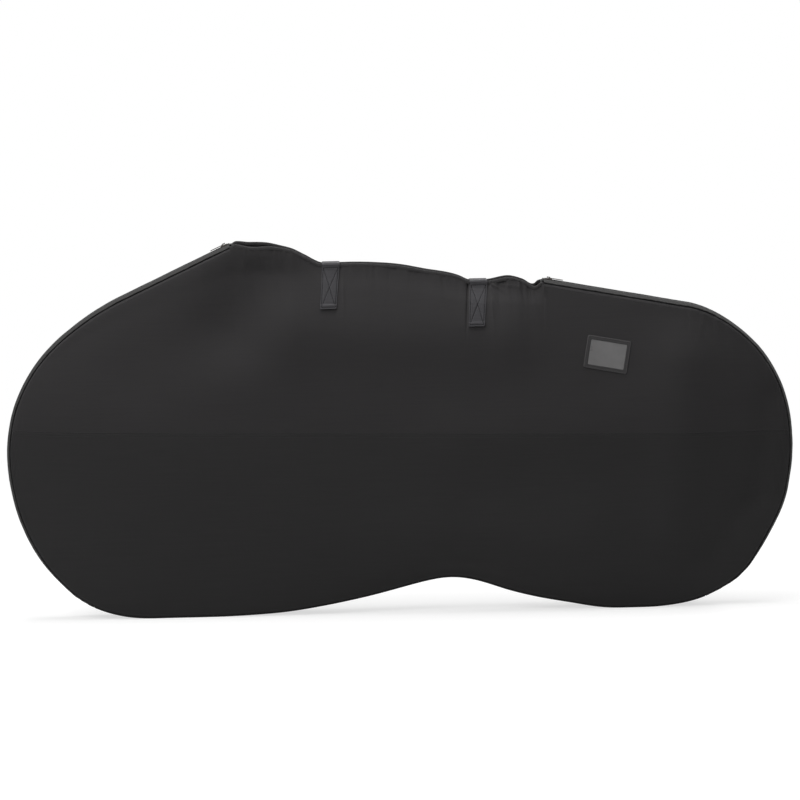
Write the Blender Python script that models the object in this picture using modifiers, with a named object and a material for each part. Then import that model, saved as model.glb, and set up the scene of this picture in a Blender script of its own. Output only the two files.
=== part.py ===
"""Soft travel bag, long and narrow, that stands on two feet with an arch between them.

Two side covers, each an upper and a lower fabric half, are joined by a narrow band round the edge.
Long zips in the band open the front and the rear end, an elastic hem edges the top opening, and two
webbing straps close over it. X runs along the bag with the front end at -X, the near side is -Y, and
the bag stands on the floor at Z = 0.
"""
import math

import bmesh
import bpy
from mathutils import Matrix, Vector

# Clearances
GAP = 0.0003
TURN_CLEARANCE = 0.0003
WELD_DISTANCE = 0.000001
FLAT_ANGLE_DEG = 0.1
SMOOTH_ANGLE_DEG = 40

# Whole bag
BAG_LENGTH = 1.700
BAG_HEIGHT = 0.809
BAND_WIDTH = 0.066
SIDE_CROWN = 0.045
SIDE_INSET = 0.005
INSET_HEIGHT = 0.150

# Seam between the halves of a side cover: its height at each end of the bag, how far each half's
# corner keeps from it, and the least height over it of the next point of that half's edge.
SEAM_FRONT_HEIGHT = 0.415
SEAM_REAR_HEIGHT = 0.382
CORNER_HEIGHT = 0.002
EDGE_CLEAR_HEIGHT = 0.010

# Fabric side covers
COVER_THICKNESS = 0.002
SEAM_BINDING_WIDTH = 0.016
SEAM_BINDING_THICKNESS = 0.0012
SEAM_BINDING_END = 0.045

# Band strips and their inner binding
BAND_THICKNESS = 0.0015
BAND_SHOULDER = 0.020
EDGE_BINDING_WIDTH = 0.008
EDGE_BINDING_THICKNESS = 0.0010

# Zips
TEETH_WIDTH = 0.003
TEETH_THICKNESS = 0.0028
TEETH_SLIT = 0.0012
TAPE_THICKNESS = 0.0010
TAPE_HALF_WIDTH = 0.018
TAPE_SHOWN_WIDTH = 0.012
STOP_LENGTH = 0.003
STOP_RISE = 0.0006
END_BOX_LENGTH = 0.005

# Zip sliders and pulls
SLIDER_LENGTH = 0.016
SLIDER_PLATE = 0.0018
SLIDER_FLANGE = 0.0013
SLIDER_WEB_LENGTH = 0.012
BAIL_WIDTH = 0.0024
BAIL_LEG = 0.0016
BAIL_ROOF = 0.0012
BAIL_SPAN = 0.0040
PULL_THICKNESS = 0.0014
PULL_LENGTH = 0.032
PULL_RAIL = 0.0018
PULL_WINDOW_END = 0.0052
PULL_TIP_WIDTH = 0.0090
PULL_HOLE_RADIUS = 0.0018
PULL_TIP_STEPS = 6
PULL_HOLE_STEPS = 12

# Elastic hems of the top opening
HEM_HEIGHT = 0.008
HEM_THICKNESS = 0.004
HEM_LEAN = 0.010
HEM_END_GAP = 0.003

# Webbing straps over the opening
STRAP_WIDTH = 0.038
STRAP_THICKNESS = 0.0018
HOOK_THICKNESS = 0.0012
LOOP_THICKNESS = 0.0010
STRAP_CHAMFER = 0.002
STRAP_HINGE_GAP = 0.0014

# Name window on the near side
WINDOW_WIDTH = 0.078
WINDOW_HEIGHT = 0.053
WINDOW_FILM = 0.0008
FRAME_BORDER = 0.0085
FRAME_THICKNESS = 0.0016
FRAME_CORNER = 0.004
FRAME_CORNER_STEPS = 3
WINDOW_TILT_DEG = -10.4
WINDOW_X_SHARE = 0.522
WINDOW_Z_SHARE = 0.691

# The outline in side view as runs, anticlockwise from the top end of the front zip. Each point is a
# share of half the length and a share of the height, and a run ends where the next one starts.
OUTLINE_SHARES = {
    "front_zip_top": [(-0.426, 0.9988)],
    "front_zip_upper": [
        (-0.706, 0.8620), (-0.818, 0.7910), (-0.880, 0.7370), (-0.9113, 0.7016),
        (-0.9422, 0.6564), (-0.9728, 0.5926), (-0.9890, 0.5393),
    ],
    "front_zip_lower": [
        (-0.9935, 0.5130), (-1.0, 0.4530), (-0.9985, 0.4100), (-0.9906, 0.3450), (-0.9555, 0.2250),
        (-0.9215, 0.1600), (-0.8728, 0.0980), (-0.8405, 0.0650),
    ],
    "front_heel": [(-0.7906, 0.0320), (-0.7506, 0.0160), (-0.7110, 0.0060)],
    "front_foot": [(-0.655, 0.0)],
    "arch": [
        (-0.506, 0.0), (-0.394, 0.0026), (-0.292, 0.0097), (-0.2153, 0.0210), (-0.0615, 0.0523),
        (0.0155, 0.0722), (0.0668, 0.0844), (0.1180, 0.0915), (0.1690, 0.0857), (0.2710, 0.0525),
        (0.3478, 0.0322), (0.4247, 0.0172), (0.5060, 0.0025),
    ],
    "rear_foot": [(0.535, 0.0)],
    "rear_heel": [(0.630, 0.0), (0.6812, 0.0042), (0.7329, 0.0126)],
    "rear_zip_lower": [
        (0.7741, 0.0258), (0.8365, 0.0590), (0.8700, 0.0845), (0.9165, 0.1500), (0.9505, 0.2126),
        (0.9788, 0.2775), (0.9930, 0.3490), (1.0, 0.4350),
    ],
    "rear_zip_upper": [
        (0.9982, 0.4722), (0.9841, 0.5604), (0.9533, 0.6397), (0.9226, 0.6890), (0.8611, 0.7524),
        (0.7996, 0.7941),
    ],
    "rear_zip_top": [(0.7353, 0.8177)],
    "rear_hem": [(0.3670, 0.8894), (0.3435, 0.8735), (0.3180, 0.8868), (0.2860, 0.8970)],
    "rear_strap": [(0.2244, 0.8890)],
    "middle_hem": [
        (0.1797, 0.8890), (0.1541, 0.9010), (0.0635, 0.9216), (0.0033, 0.9340), (-0.0571, 0.9400),
        (-0.1100, 0.9422),
    ],
    "front_strap": [(-0.1482, 0.9420)],
    "front_hem": [
        (-0.1929, 0.9420), (-0.2376, 0.9650), (-0.2676, 0.9808), (-0.2976, 0.9895),
        (-0.3276, 0.9969), (-0.3760, 0.9994),
    ],
}
STRAIGHT_RUNS = ("front_zip_top", "front_foot", "rear_foot", "rear_zip_top", "rear_strap", "front_strap")
RUN_STEPS = {
    "front_zip_top": 3, "front_zip_upper": 11, "front_zip_lower": 12, "front_heel": 3, "front_foot": 1,
    "arch": 16, "rear_foot": 1, "rear_heel": 3, "rear_zip_lower": 12, "rear_zip_upper": 11,
    "rear_zip_top": 3, "rear_hem": 6, "rear_strap": 2, "middle_hem": 7, "front_strap": 2,
    "front_hem": 7,
}
STRAP_RUNS = {"front_strap": "middle_hem", "rear_strap": "rear_hem"}
HEM_RUNS = ("rear_hem", "rear_strap", "middle_hem", "front_strap", "front_hem")
SPAN_STEPS = 8

# Rows from the edge of a side cover to its seam. The straps lie on the first few under the hem.
STRAP_ROW_SHARES = (0.05, 0.13, 0.27)
ROW_SHARES = (0.0, *STRAP_ROW_SHARES, 0.46, 0.70, 1.0)

# How a side cover swells: the share of its rise that goes straight to the seam, the power that
# flattens its middle and steepens its ends, and how far the lower columns fan out at the ends.
CREASE_SHARE = 0.35
CROWN_POWER = 5.0
FAN_SHARE = 0.15

PART_NAME = "bike_travel_bag"


# Outline
def run_points():
    """The outline's own points in metres, each with the name of the run that it starts or lies in."""
    listed = []
    for run, shares in OUTLINE_SHARES.items():
        for x_share, z_share in shares:
            listed.append((run, Vector((x_share * BAG_LENGTH / 2, z_share * BAG_HEIGHT))))
    return snap_strap_width(listed)


def snap_strap_width(listed):
    """Both ends of each strap's run moved to half a strap's width either side of its middle."""
    snapped = [[run, point.copy()] for run, point in listed]
    for index, (run, point) in enumerate(listed):
        if run in STRAP_RUNS:
            far_point = listed[index + 1][1]
            middle = (point.x + far_point.x) / 2
            snapped[index][1].x = middle + STRAP_WIDTH / 2
            snapped[index + 1][1].x = middle - STRAP_WIDTH / 2
    return snapped


def directions(listed):
    """A unit direction at each outline point, in line with any straight run that meets it there."""
    found = []
    count = len(listed)
    for index, (run, point) in enumerate(listed):
        before_run, before = listed[index - 1]
        after = listed[(index + 1) % count][1]
        back = point - before
        ahead = after - point
        if before_run in STRAIGHT_RUNS:
            found.append(back.normalized())
        elif run in STRAIGHT_RUNS:
            found.append(ahead.normalized())
        else:
            blend = back.normalized() * ahead.length + ahead.normalized() * back.length
            found.append(blend.normalized())
    return found


def smooth_point(start, end, start_direction, end_direction, share):
    """A point on the cubic between two outline points."""
    reach = (end - start).length
    square = share * share
    cube = square * share
    return (
        start * (2 * cube - 3 * square + 1)
        + end * (3 * square - 2 * cube)
        + start_direction * reach * (cube - 2 * square + share)
        + end_direction * reach * (cube - square)
    )


def evenly_spaced(points, steps):
    """The same polyline with a given number of equal steps."""
    lengths = [0.0]
    for start, end in zip(points, points[1:]):
        lengths.append(lengths[-1] + (end - start).length)
    spaced = []
    span = 0
    for step in range(steps + 1):
        wanted = lengths[-1] * step / steps
        while span < len(points) - 2 and lengths[span + 1] < wanted:
            span += 1
        share = (wanted - lengths[span]) / (lengths[span + 1] - lengths[span])
        spaced.append(points[span].lerp(points[span + 1], share))
    return spaced


def trace_outline():
    """All stations round the bag, and the index at which each run starts."""
    listed = run_points()
    headings = directions(listed)
    count = len(listed)
    stations = []
    starts = {}
    for run in OUTLINE_SHARES:
        spans = [index for index in range(count) if listed[index][0] == run]
        fine = [listed[spans[0]][1]]
        for index in spans:
            following = (index + 1) % count
            for substep in range(1, SPAN_STEPS + 1):
                fine.append(smooth_point(
                    listed[index][1], listed[following][1],
                    headings[index], headings[following], substep / SPAN_STEPS,
                ))
        starts[run] = len(stations)
        stations.extend(evenly_spaced(fine, RUN_STEPS[run])[:-1])
    return stations, starts


STATIONS, RUN_STARTS = trace_outline()


def outward(index):
    """The outline's outward unit normal at a station."""
    count = len(STATIONS)
    along = STATIONS[(index + 1) % count] - STATIONS[(index - 1) % count]
    along.normalize()
    return Vector((along.y, -along.x))


NORMALS = [outward(index) for index in range(len(STATIONS))]


def station_range(first_run, last_run):
    """Station indices from the start of one run to the end of another, in outline order."""
    first = RUN_STARTS[first_run]
    last = RUN_STARTS[last_run] + RUN_STEPS[last_run]
    if last < first:
        last += len(STATIONS)
    return [index % len(STATIONS) for index in range(first, last + 1)]


def trimmed(indices, start_trim, end_trim):
    """Points and normals of a stretch of outline, with its two ends drawn in."""
    points = [STATIONS[index].copy() for index in indices]
    normals = [NORMALS[index] for index in indices]
    points[0] += (points[1] - points[0]).normalized() * start_trim
    points[-1] += (points[-2] - points[-1]).normalized() * end_trim
    return points, normals


def edge_inset(height):
    """How far the seams lie inside the band's middle: nothing at the floor, so that the feet are flat."""
    return SIDE_INSET * min(1.0, max(0.0, height / INSET_HEIGHT))


def smooth_share(share):
    """A share eased in and out between nought and one."""
    share = min(1.0, max(0.0, share))
    return share * share * (3 - 2 * share)


def hem_lean(x):
    """How far the hems lean in towards each other, all of it between the two straps."""
    front_end = STATIONS[RUN_STARTS["front_zip_top"]].x
    front_strap = STATIONS[RUN_STARTS["front_hem"]].x
    rear_strap = STATIONS[RUN_STARTS["rear_strap"]].x
    rear_end = STATIONS[RUN_STARTS["rear_hem"]].x
    rise = smooth_share((x - front_end) / (front_strap - front_end))
    fall = smooth_share((rear_end - x) / (rear_end - rear_strap))
    return HEM_LEAN * min(rise, fall)


# Mesh helpers
def make_collection(name):
    """A new collection in the scene."""
    collection = bpy.data.collections.new(name)
    bpy.context.scene.collection.children.link(collection)
    return collection


def make_material(name, colour, roughness, metallic=0.0, alpha=1.0):
    """A Principled material."""
    material = bpy.data.materials.new(name)
    material.use_nodes = True
    shader = material.node_tree.nodes["Principled BSDF"]
    shader.inputs["Base Color"].default_value = (*colour, 1.0)
    shader.inputs["Roughness"].default_value = roughness
    shader.inputs["Metallic"].default_value = metallic
    shader.inputs["Alpha"].default_value = alpha
    return material


def add_object(name, mesh, collection, material):
    """An object for a mesh, shaded smooth with crisp corners."""
    mesh.shade_smooth()
    mesh.set_sharp_from_angle(angle=math.radians(SMOOTH_ANGLE_DEG))
    mesh.materials.append(material)
    made = bpy.data.objects.new(name, mesh)
    collection.objects.link(made)
    return made


def sheet(name, rows, thickness, side, aim, collection, material):
    """A fabric sheet: a grid of points given depth by Solidify.

    side is -1 where the grid is the outer face and 0 where it is the middle, and aim is a direction
    that the outer face looks along.
    """
    shape = bmesh.new()
    grid = [[shape.verts.new(point) for point in row] for row in rows]
    for upper, lower in zip(grid, grid[1:]):
        for column in range(len(upper) - 1):
            shape.faces.new((upper[column], upper[column + 1], lower[column + 1], lower[column]))
    shape.normal_update()
    facing = sum((face.normal.dot(aim[index % len(aim)]) for index, face in enumerate(shape.faces)))
    if facing < 0:
        bmesh.ops.reverse_faces(shape, faces=shape.faces[:])
    mesh = bpy.data.meshes.new(name)
    shape.to_mesh(mesh)
    shape.free()
    made = add_object(name, mesh, collection, material)
    depth = made.modifiers.new("Thickness", "SOLIDIFY")
    depth.thickness = thickness
    depth.offset = side
    depth.use_even_offset = True
    return made


def outline_plate(name, loops, thickness, placing, collection, material):
    """A flat plate from closed loops in its own plane, as a mesh with welded caps."""
    curve = bpy.data.curves.new(name, "CURVE")
    curve.dimensions = "2D"
    curve.fill_mode = "BOTH"
    curve.extrude = thickness / 2
    curve.resolution_u = 1
    curve.render_resolution_u = 0
    for loop in loops:
        spline = curve.splines.new("POLY")
        spline.points.add(len(loop) - 1)
        spline.use_cyclic_u = True
        for target, (across, up) in zip(spline.points, loop):
            target.co = (across, up, 0.0, 1.0)
    holder = bpy.data.objects.new(name + "_outline", curve)
    bpy.context.scene.collection.objects.link(holder)
    bpy.context.view_layer.update()
    evaluated = holder.evaluated_get(bpy.context.evaluated_depsgraph_get())
    mesh = bpy.data.meshes.new_from_object(evaluated)
    bpy.data.objects.remove(holder)
    mesh.name = name
    shape = bmesh.new()
    shape.from_mesh(mesh)
    bmesh.ops.remove_doubles(shape, verts=shape.verts[:], dist=WELD_DISTANCE)
    if len(loops) == 1:
        bmesh.ops.dissolve_limit(
            shape, angle_limit=math.radians(FLAT_ANGLE_DEG), verts=shape.verts[:], edges=shape.edges[:])
    shape.to_mesh(mesh)
    shape.free()
    mesh.materials.clear()
    made = add_object(name, mesh, collection, material)
    made.matrix_world = placing
    return made


def block(name, size, centre, placing, collection, material):
    """A box of a given size whose centre is given in the axes of its placing."""
    mesh = bpy.data.meshes.new(name)
    shape = bmesh.new()
    bmesh.ops.create_cube(shape, size=1.0, matrix=Matrix.Translation(centre) @ Matrix.Diagonal((*size, 1.0)))
    shape.to_mesh(mesh)
    shape.free()
    made = add_object(name, mesh, collection, material)
    made.matrix_world = placing
    return made


def join_by_union(base, added):
    """One solid out of two overlapping meshes, in the axes that they are placed in."""
    for made in (base, added):
        made.data.transform(made.matrix_basis)
        made.matrix_basis = Matrix.Identity(4)
    bpy.context.view_layer.update()
    union = base.modifiers.new("Union", "BOOLEAN")
    union.operation = "UNION"
    union.object = added
    evaluated = base.evaluated_get(bpy.context.evaluated_depsgraph_get())
    joined = bpy.data.meshes.new_from_object(evaluated)
    base.modifiers.clear()
    base.data = joined
    bpy.data.objects.remove(added)
    return base


def set_origin(made, point):
    """Move an object's origin to a point and leave its shape where it is."""
    shift = Matrix.Translation(-point)
    made.data.transform(shift)
    made.location = point


def mirrored(rows, sign):
    """Rows of points on the near side for a sign of -1, or on the far side for 1."""
    return [[Vector((point.x, sign * point.y, point.z)) for point in row] for row in rows]


def rounded_rectangle(width, height, radius, corner_steps):
    """Corner points of a rectangle with round corners, centred on nought."""
    points = []
    for quarter in range(4):
        centre_x = (width / 2 - radius) * (1 if quarter in (0, 3) else -1)
        centre_y = (height / 2 - radius) * (1 if quarter in (0, 1) else -1)
        for step in range(corner_steps + 1):
            angle = math.pi / 2 * (quarter + step / corner_steps)
            points.append((centre_x + radius * math.cos(angle), centre_y + radius * math.sin(angle)))
    return points


# Side covers. On this bag a cover's surface is a set of columns that run from its edge to its seam.
def seam_height(x):
    """Height of the seam between a cover's two halves."""
    share = (x + BAG_LENGTH / 2) / BAG_LENGTH
    return SEAM_FRONT_HEIGHT + (SEAM_REAR_HEIGHT - SEAM_FRONT_HEIGHT) * share


def crown_depth(x):
    """How far the seam stands out from the band at a place along the bag."""
    reach = BAG_LENGTH / 2 - 2 * SIDE_INSET
    return SIDE_CROWN * max(0.0, 1.0 - abs(x / reach) ** CROWN_POWER)


def crown_rise(row_share):
    """The share of the crown reached on the way from the edge to the seam."""
    return (1 - CREASE_SHARE) * (1 - (1 - row_share) ** 2) + CREASE_SHARE * row_share


def cover_point(edge, seam, row_share, lift):
    """A point of the near cover's middle surface, or lifted off it, away from the bag."""
    place = edge.lerp(seam, row_share)
    lean = hem_lean(place.x) * (1 - row_share) ** 2 if edge.y > seam.y else 0.0
    depth = BAND_WIDTH / 2 - COVER_THICKNESS / 2 - lean
    depth += crown_depth(place.x) * crown_rise(row_share) + lift
    return Vector((place.x, -depth, place.y))


def cover_edge(index, in_hem):
    """A cover's edge at a station: under the hem in the opening, and at the band's seam elsewhere."""
    if in_hem:
        return STATIONS[index] - Vector((0.0, HEM_HEIGHT + GAP))
    return STATIONS[index] - NORMALS[index] * edge_inset(STATIONS[index].y)


def cover_ring():
    """The whole edge of a side cover, a point for each station."""
    hem_indices = set()
    for run in HEM_RUNS:
        hem_indices.update(station_range(run, run))
    return [cover_edge(index, index in hem_indices) for index in range(len(STATIONS))]


def seam_corner(ring, heights, index, onward):
    """Where the edge, followed onward from a station inside one half, comes down to that half's
    corner beside the seam. heights are the ring's heights over the seam, on that half's side."""
    count = len(ring)
    while heights[(index + onward) % count] > CORNER_HEIGHT:
        index += onward
    here = index % count
    there = (index + onward) % count
    share = (heights[here] - CORNER_HEIGHT) / (heights[here] - heights[there])
    return ring[here].lerp(ring[there], share)


def half_edge(way):
    """One half's edge in outline order, from corner to corner: the half above the seam for a way
    of 1, and the half below it for -1."""
    ring = cover_ring()
    count = len(ring)
    heights = [way * (point.y - seam_height(point.x)) for point in ring]
    inside = [height > EDGE_CLEAR_HEIGHT for height in heights]
    first = next(index for index in range(count) if inside[index] and not inside[index - 1])
    last = first
    while inside[(last + 1) % count]:
        last += 1
    edges = [ring[index % count] for index in range(first, last + 1)]
    return [seam_corner(ring, heights, first, -1), *edges, seam_corner(ring, heights, last, 1)]


def cover_columns(upper):
    """Pairs of an edge point and a seam point, from the front end of the seam to its rear end."""
    way = 1 if upper else -1
    edges = half_edge(way)
    if upper:
        edges.reverse()
    fan = 0.0 if upper else FAN_SHARE
    progress = [0.0]
    for start, end in zip(edges, edges[1:]):
        step = end - start
        progress.append(progress[-1] + abs(step.x) + fan * step.length)
    columns = []
    for edge, done in zip(edges, progress):
        x = edges[0].x + (edges[-1].x - edges[0].x) * done / progress[-1]
        columns.append((edge, Vector((x, seam_height(x) + way * GAP / 2))))
    return columns


UPPER_COLUMNS = cover_columns(True)
LOWER_COLUMNS = cover_columns(False)


def cover_rows(columns, row_shares, lift):
    """Rows of points on the near cover for some of its columns."""
    return [[cover_point(edge, seam, share, lift) for edge, seam in columns] for share in row_shares]


def side_name(sign):
    """near for the -Y side and far for the +Y side."""
    return "near" if sign < 0 else "far"


def make_covers(sign, collection, materials):
    """The upper and the lower half of one side cover."""
    side = side_name(sign)
    for half, columns in (("upper", UPPER_COLUMNS), ("lower", LOWER_COLUMNS)):
        rows = mirrored(cover_rows(columns, ROW_SHARES, 0.0), -sign)
        sheet(f"{side}_{half}_cover", rows, COVER_THICKNESS, 0.0, [Vector((0, sign, 0))],
              collection, materials["upper_fabric" if half == "upper" else "lower_fabric"])


def fall_beside_seam(columns, x):
    """How far a cover falls back from its seam over half the width of the seam's binding."""
    falls = []
    for (edge, seam), (next_edge, next_seam) in zip(columns, columns[1:]):
        if seam.x <= x <= next_seam.x:
            for top, bottom in ((edge, seam), (next_edge, next_seam)):
                last = cover_point(top, bottom, ROW_SHARES[-1], 0.0)
                before = cover_point(top, bottom, ROW_SHARES[-2], 0.0)
                slope = (before.y - last.y) / abs(before.z - last.z)
                falls.append(slope * SEAM_BINDING_WIDTH / 2)
    return max(falls)


def make_seam_binding(sign, collection, materials):
    """The binding tape inside a cover, over the seam between its halves."""
    reach = BAG_LENGTH / 2 - SIDE_INSET - SEAM_BINDING_END
    under = COVER_THICKNESS + GAP + SEAM_BINDING_THICKNESS / 2
    xs = [seam.x for edge, seam in UPPER_COLUMNS if abs(seam.x) < reach]
    rows = []
    for part, columns in ((1, UPPER_COLUMNS), (0, None), (-1, LOWER_COLUMNS)):
        row = []
        for x in xs:
            fall = fall_beside_seam(columns, x) if columns else 0.0
            depth = BAND_WIDTH / 2 + crown_depth(x) - under - fall
            row.append(Vector((x, sign * depth, seam_height(x) + part * SEAM_BINDING_WIDTH / 2)))
        rows.append(row)
    sheet(f"{side_name(sign)}_seam_binding", rows, SEAM_BINDING_THICKNESS, 0.0,
          [Vector((0, sign, 0))], collection, materials["binding"])


# Band round the edge
def band_rows(points, normals, profile):
    """Rows of points swept along the outline: profile gives each row's place across and its drop."""
    rows = []
    for across, drop_of in profile:
        row = []
        for point, normal in zip(points, normals):
            place = point - normal * drop_of(point.y)
            row.append(Vector((place.x, across, place.y)))
        rows.append(row)
    return rows


def band_sheet(name, indices, trims, profile, thickness, collection, material):
    """A strip of the band, with its outer face on the given profile."""
    points, normals = trimmed(indices, *trims)
    rows = band_rows(points, normals, profile)
    aim = []
    for _ in rows[1:]:
        for normal in normals[1:]:
            aim.append(Vector((normal.x, 0.0, normal.y)))
    return sheet(name, rows, thickness, -1.0, aim, collection, material)


COVER_INNER = BAND_WIDTH / 2 - COVER_THICKNESS
BAND_EDGE = COVER_INNER - GAP
HEM_INNER = (BAND_WIDTH - COVER_THICKNESS - HEM_THICKNESS) / 2
TEETH_INNER = TEETH_SLIT / 2
TEETH_OUTER = TEETH_INNER + TEETH_WIDTH
TAPE_INNER = TEETH_OUTER + GAP
TAPE_TOP = BAND_THICKNESS + GAP


def shoulder_drop(across):
    """How far the band's outer face lies below its middle at a distance from the middle."""
    share = max(0.0, (abs(across) - BAND_SHOULDER) / (BAND_EDGE - BAND_SHOULDER))
    return lambda height: edge_inset(height) * share


def fixed_drop(drop):
    """A drop that is the same all round."""
    return lambda height: drop


def zip_indices(end):
    """The stations of one zip, from its top end to its lower end."""
    if end == "front":
        return station_range("front_zip_top", "front_zip_lower")
    return list(reversed(station_range("rear_zip_lower", "rear_zip_top")))


def make_zip(end, collection, materials):
    """One zip: two band strips, two tapes, two rows of teeth, and the stops at both ends."""
    indices = zip_indices(end)
    both_ends = (GAP, GAP)
    for sign in (-1, 1):
        side = side_name(sign)
        strip = [(sign * across, shoulder_drop(across))
                 for across in (TAPE_SHOWN_WIDTH, BAND_SHOULDER, BAND_EDGE)]
        band_sheet(f"{end}_band_{side}", indices, both_ends, strip, BAND_THICKNESS,
                   collection, materials["band"])
        tape = [(sign * across, fixed_drop(TAPE_TOP)) for across in (TAPE_INNER, TAPE_HALF_WIDTH)]
        band_sheet(f"{end}_zip_tape_{side}", indices, both_ends, tape, TAPE_THICKNESS,
                   collection, materials["tape"])
        teeth = [(sign * across, fixed_drop(0.0)) for across in (TEETH_INNER, TEETH_OUTER)]
        teeth_ends = (STOP_LENGTH + 2 * GAP, END_BOX_LENGTH + 2 * GAP)
        band_sheet(f"{end}_zip_teeth_{side}", indices, teeth_ends, teeth, TEETH_THICKNESS,
                   collection, materials["teeth"])
        make_top_stop(end, sign, indices, collection, materials)
    make_end_box(end, indices, collection, materials)


def band_frame(point, onward, normal):
    """Axes with X along the zip, away from its top end, Z out of the band, and Y across the bag."""
    along = Vector((onward.x, 0.0, onward.y)).normalized()
    out = Vector((normal.x, 0.0, normal.y))
    out = (out - along * out.dot(along)).normalized()
    across = out.cross(along)
    turn = Matrix((along, across, out)).transposed().to_4x4()
    return Matrix.Translation(Vector((point.x, 0.0, point.y))) @ turn


def top_end_frame(indices):
    """The axes at a zip's top end, which lie in its straight stretch."""
    onward = STATIONS[indices[1]] - STATIONS[indices[0]]
    return band_frame(STATIONS[indices[0]], onward, NORMALS[indices[1]])


def make_top_stop(end, sign, indices, collection, materials):
    """The stop clamped on one row of teeth at the zip's top end."""
    size = (STOP_LENGTH, TEETH_WIDTH, TEETH_THICKNESS + STOP_RISE)
    centre = Vector((GAP + STOP_LENGTH / 2, sign * (TEETH_INNER + TEETH_WIDTH / 2),
                     (STOP_RISE - TEETH_THICKNESS) / 2))
    placing = top_end_frame(indices)
    side = side_name(placing.col[1].y * sign)
    block(f"{end}_zip_stop_{side}", size, centre, placing, collection, materials["metal"])


def make_end_box(end, indices, collection, materials):
    """The box that joins both rows of teeth at the zip's lower end."""
    onward = STATIONS[indices[-1]] - STATIONS[indices[-2]]
    size = (END_BOX_LENGTH, 2 * TEETH_OUTER, TEETH_THICKNESS + STOP_RISE)
    centre = Vector((-GAP - END_BOX_LENGTH / 2, 0.0, (STOP_RISE - TEETH_THICKNESS) / 2))
    placing = band_frame(STATIONS[indices[-1]], onward, NORMALS[indices[-2]])
    block(f"{end}_zip_end_box", size, centre, placing, collection, materials["metal"])


def make_base_band(collection, materials):
    """The strip under the bag, between the lower ends of the two zips."""
    indices = station_range("front_heel", "rear_heel")
    profile = [(across, shoulder_drop(across))
               for across in (-BAND_EDGE, -BAND_SHOULDER, BAND_SHOULDER, BAND_EDGE)]
    band_sheet("base_band", indices, (GAP, GAP), profile, BAND_THICKNESS,
               collection, materials["lower_fabric"])


def make_edge_binding(sign, collection, materials):
    """The binding tape inside the seam between a side cover and the band."""
    indices = station_range("front_zip_top", "rear_zip_top")
    profile = []
    for across in (HEM_INNER - GAP - EDGE_BINDING_WIDTH, HEM_INNER - GAP):
        outer_drop = shoulder_drop(across)
        profile.append((sign * across, lambda height, drop=outer_drop: drop(height) + TAPE_TOP))
    band_sheet(f"{side_name(sign)}_edge_binding", indices, (GAP, GAP), profile,
               EDGE_BINDING_THICKNESS, collection, materials["binding"])


# Zip sliders
PLATE_TOP = GAP + SLIDER_PLATE
PULL_CORNER = PULL_THICKNESS / math.sqrt(2)
PULL_AXIS = PLATE_TOP + PULL_CORNER + TURN_CLEARANCE
BAIL_UNDER = PULL_AXIS + PULL_CORNER + TURN_CLEARANCE
BAIL_TOP = BAIL_UNDER + BAIL_ROOF
SLIDER_HALF_WIDTH = TAPE_INNER + SLIDER_FLANGE


def cap_section():
    """Cross-section of the slider's upper plate, with a flange down each side of the teeth."""
    flange_foot = GAP - TAPE_TOP
    half = [(SLIDER_HALF_WIDTH, PLATE_TOP), (SLIDER_HALF_WIDTH, flange_foot),
            (TAPE_INNER, flange_foot), (TAPE_INNER, GAP)]
    return half + [(-across, up) for across, up in reversed(half)]


def bail_loops():
    """The bridge over the slider that the pull hangs in, seen from the side."""
    outer = BAIL_SPAN / 2 + BAIL_LEG
    sunk = PLATE_TOP - SLIDER_PLATE / 2
    inner = BAIL_SPAN / 2
    return [[
        (-outer, sunk), (-outer, BAIL_TOP), (outer, BAIL_TOP), (outer, sunk),
        (inner, sunk), (inner, BAIL_UNDER), (-inner, BAIL_UNDER), (-inner, sunk),
    ]]


def pull_loops():
    """The pull: a tapered plate with a window for the bail and a hole at its tip."""
    neck = BAIL_WIDTH / 2 + TURN_CLEARANCE
    half_head = neck + PULL_RAIL
    half_tip = PULL_TIP_WIDTH / 2
    bar = PULL_THICKNESS / 2
    shoulder = PULL_LENGTH - half_tip
    outer = [(-bar, -half_head), (PULL_WINDOW_END + PULL_RAIL, -half_head), (shoulder, -half_tip)]
    for step in range(1, PULL_TIP_STEPS):
        angle = -math.pi / 2 + math.pi * step / PULL_TIP_STEPS
        outer.append((shoulder + half_tip * math.cos(angle), half_tip * math.sin(angle)))
    outer += [(shoulder, half_tip), (PULL_WINDOW_END + PULL_RAIL, half_head), (-bar, half_head)]
    window = [(bar, -neck), (bar, neck), (PULL_WINDOW_END, neck), (PULL_WINDOW_END, -neck)]
    hole = []
    for step in range(PULL_HOLE_STEPS):
        angle = -2 * math.pi * step / PULL_HOLE_STEPS
        hole.append((shoulder + PULL_HOLE_RADIUS * math.cos(angle), PULL_HOLE_RADIUS * math.sin(angle)))
    return [outer, window, hole]


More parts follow.
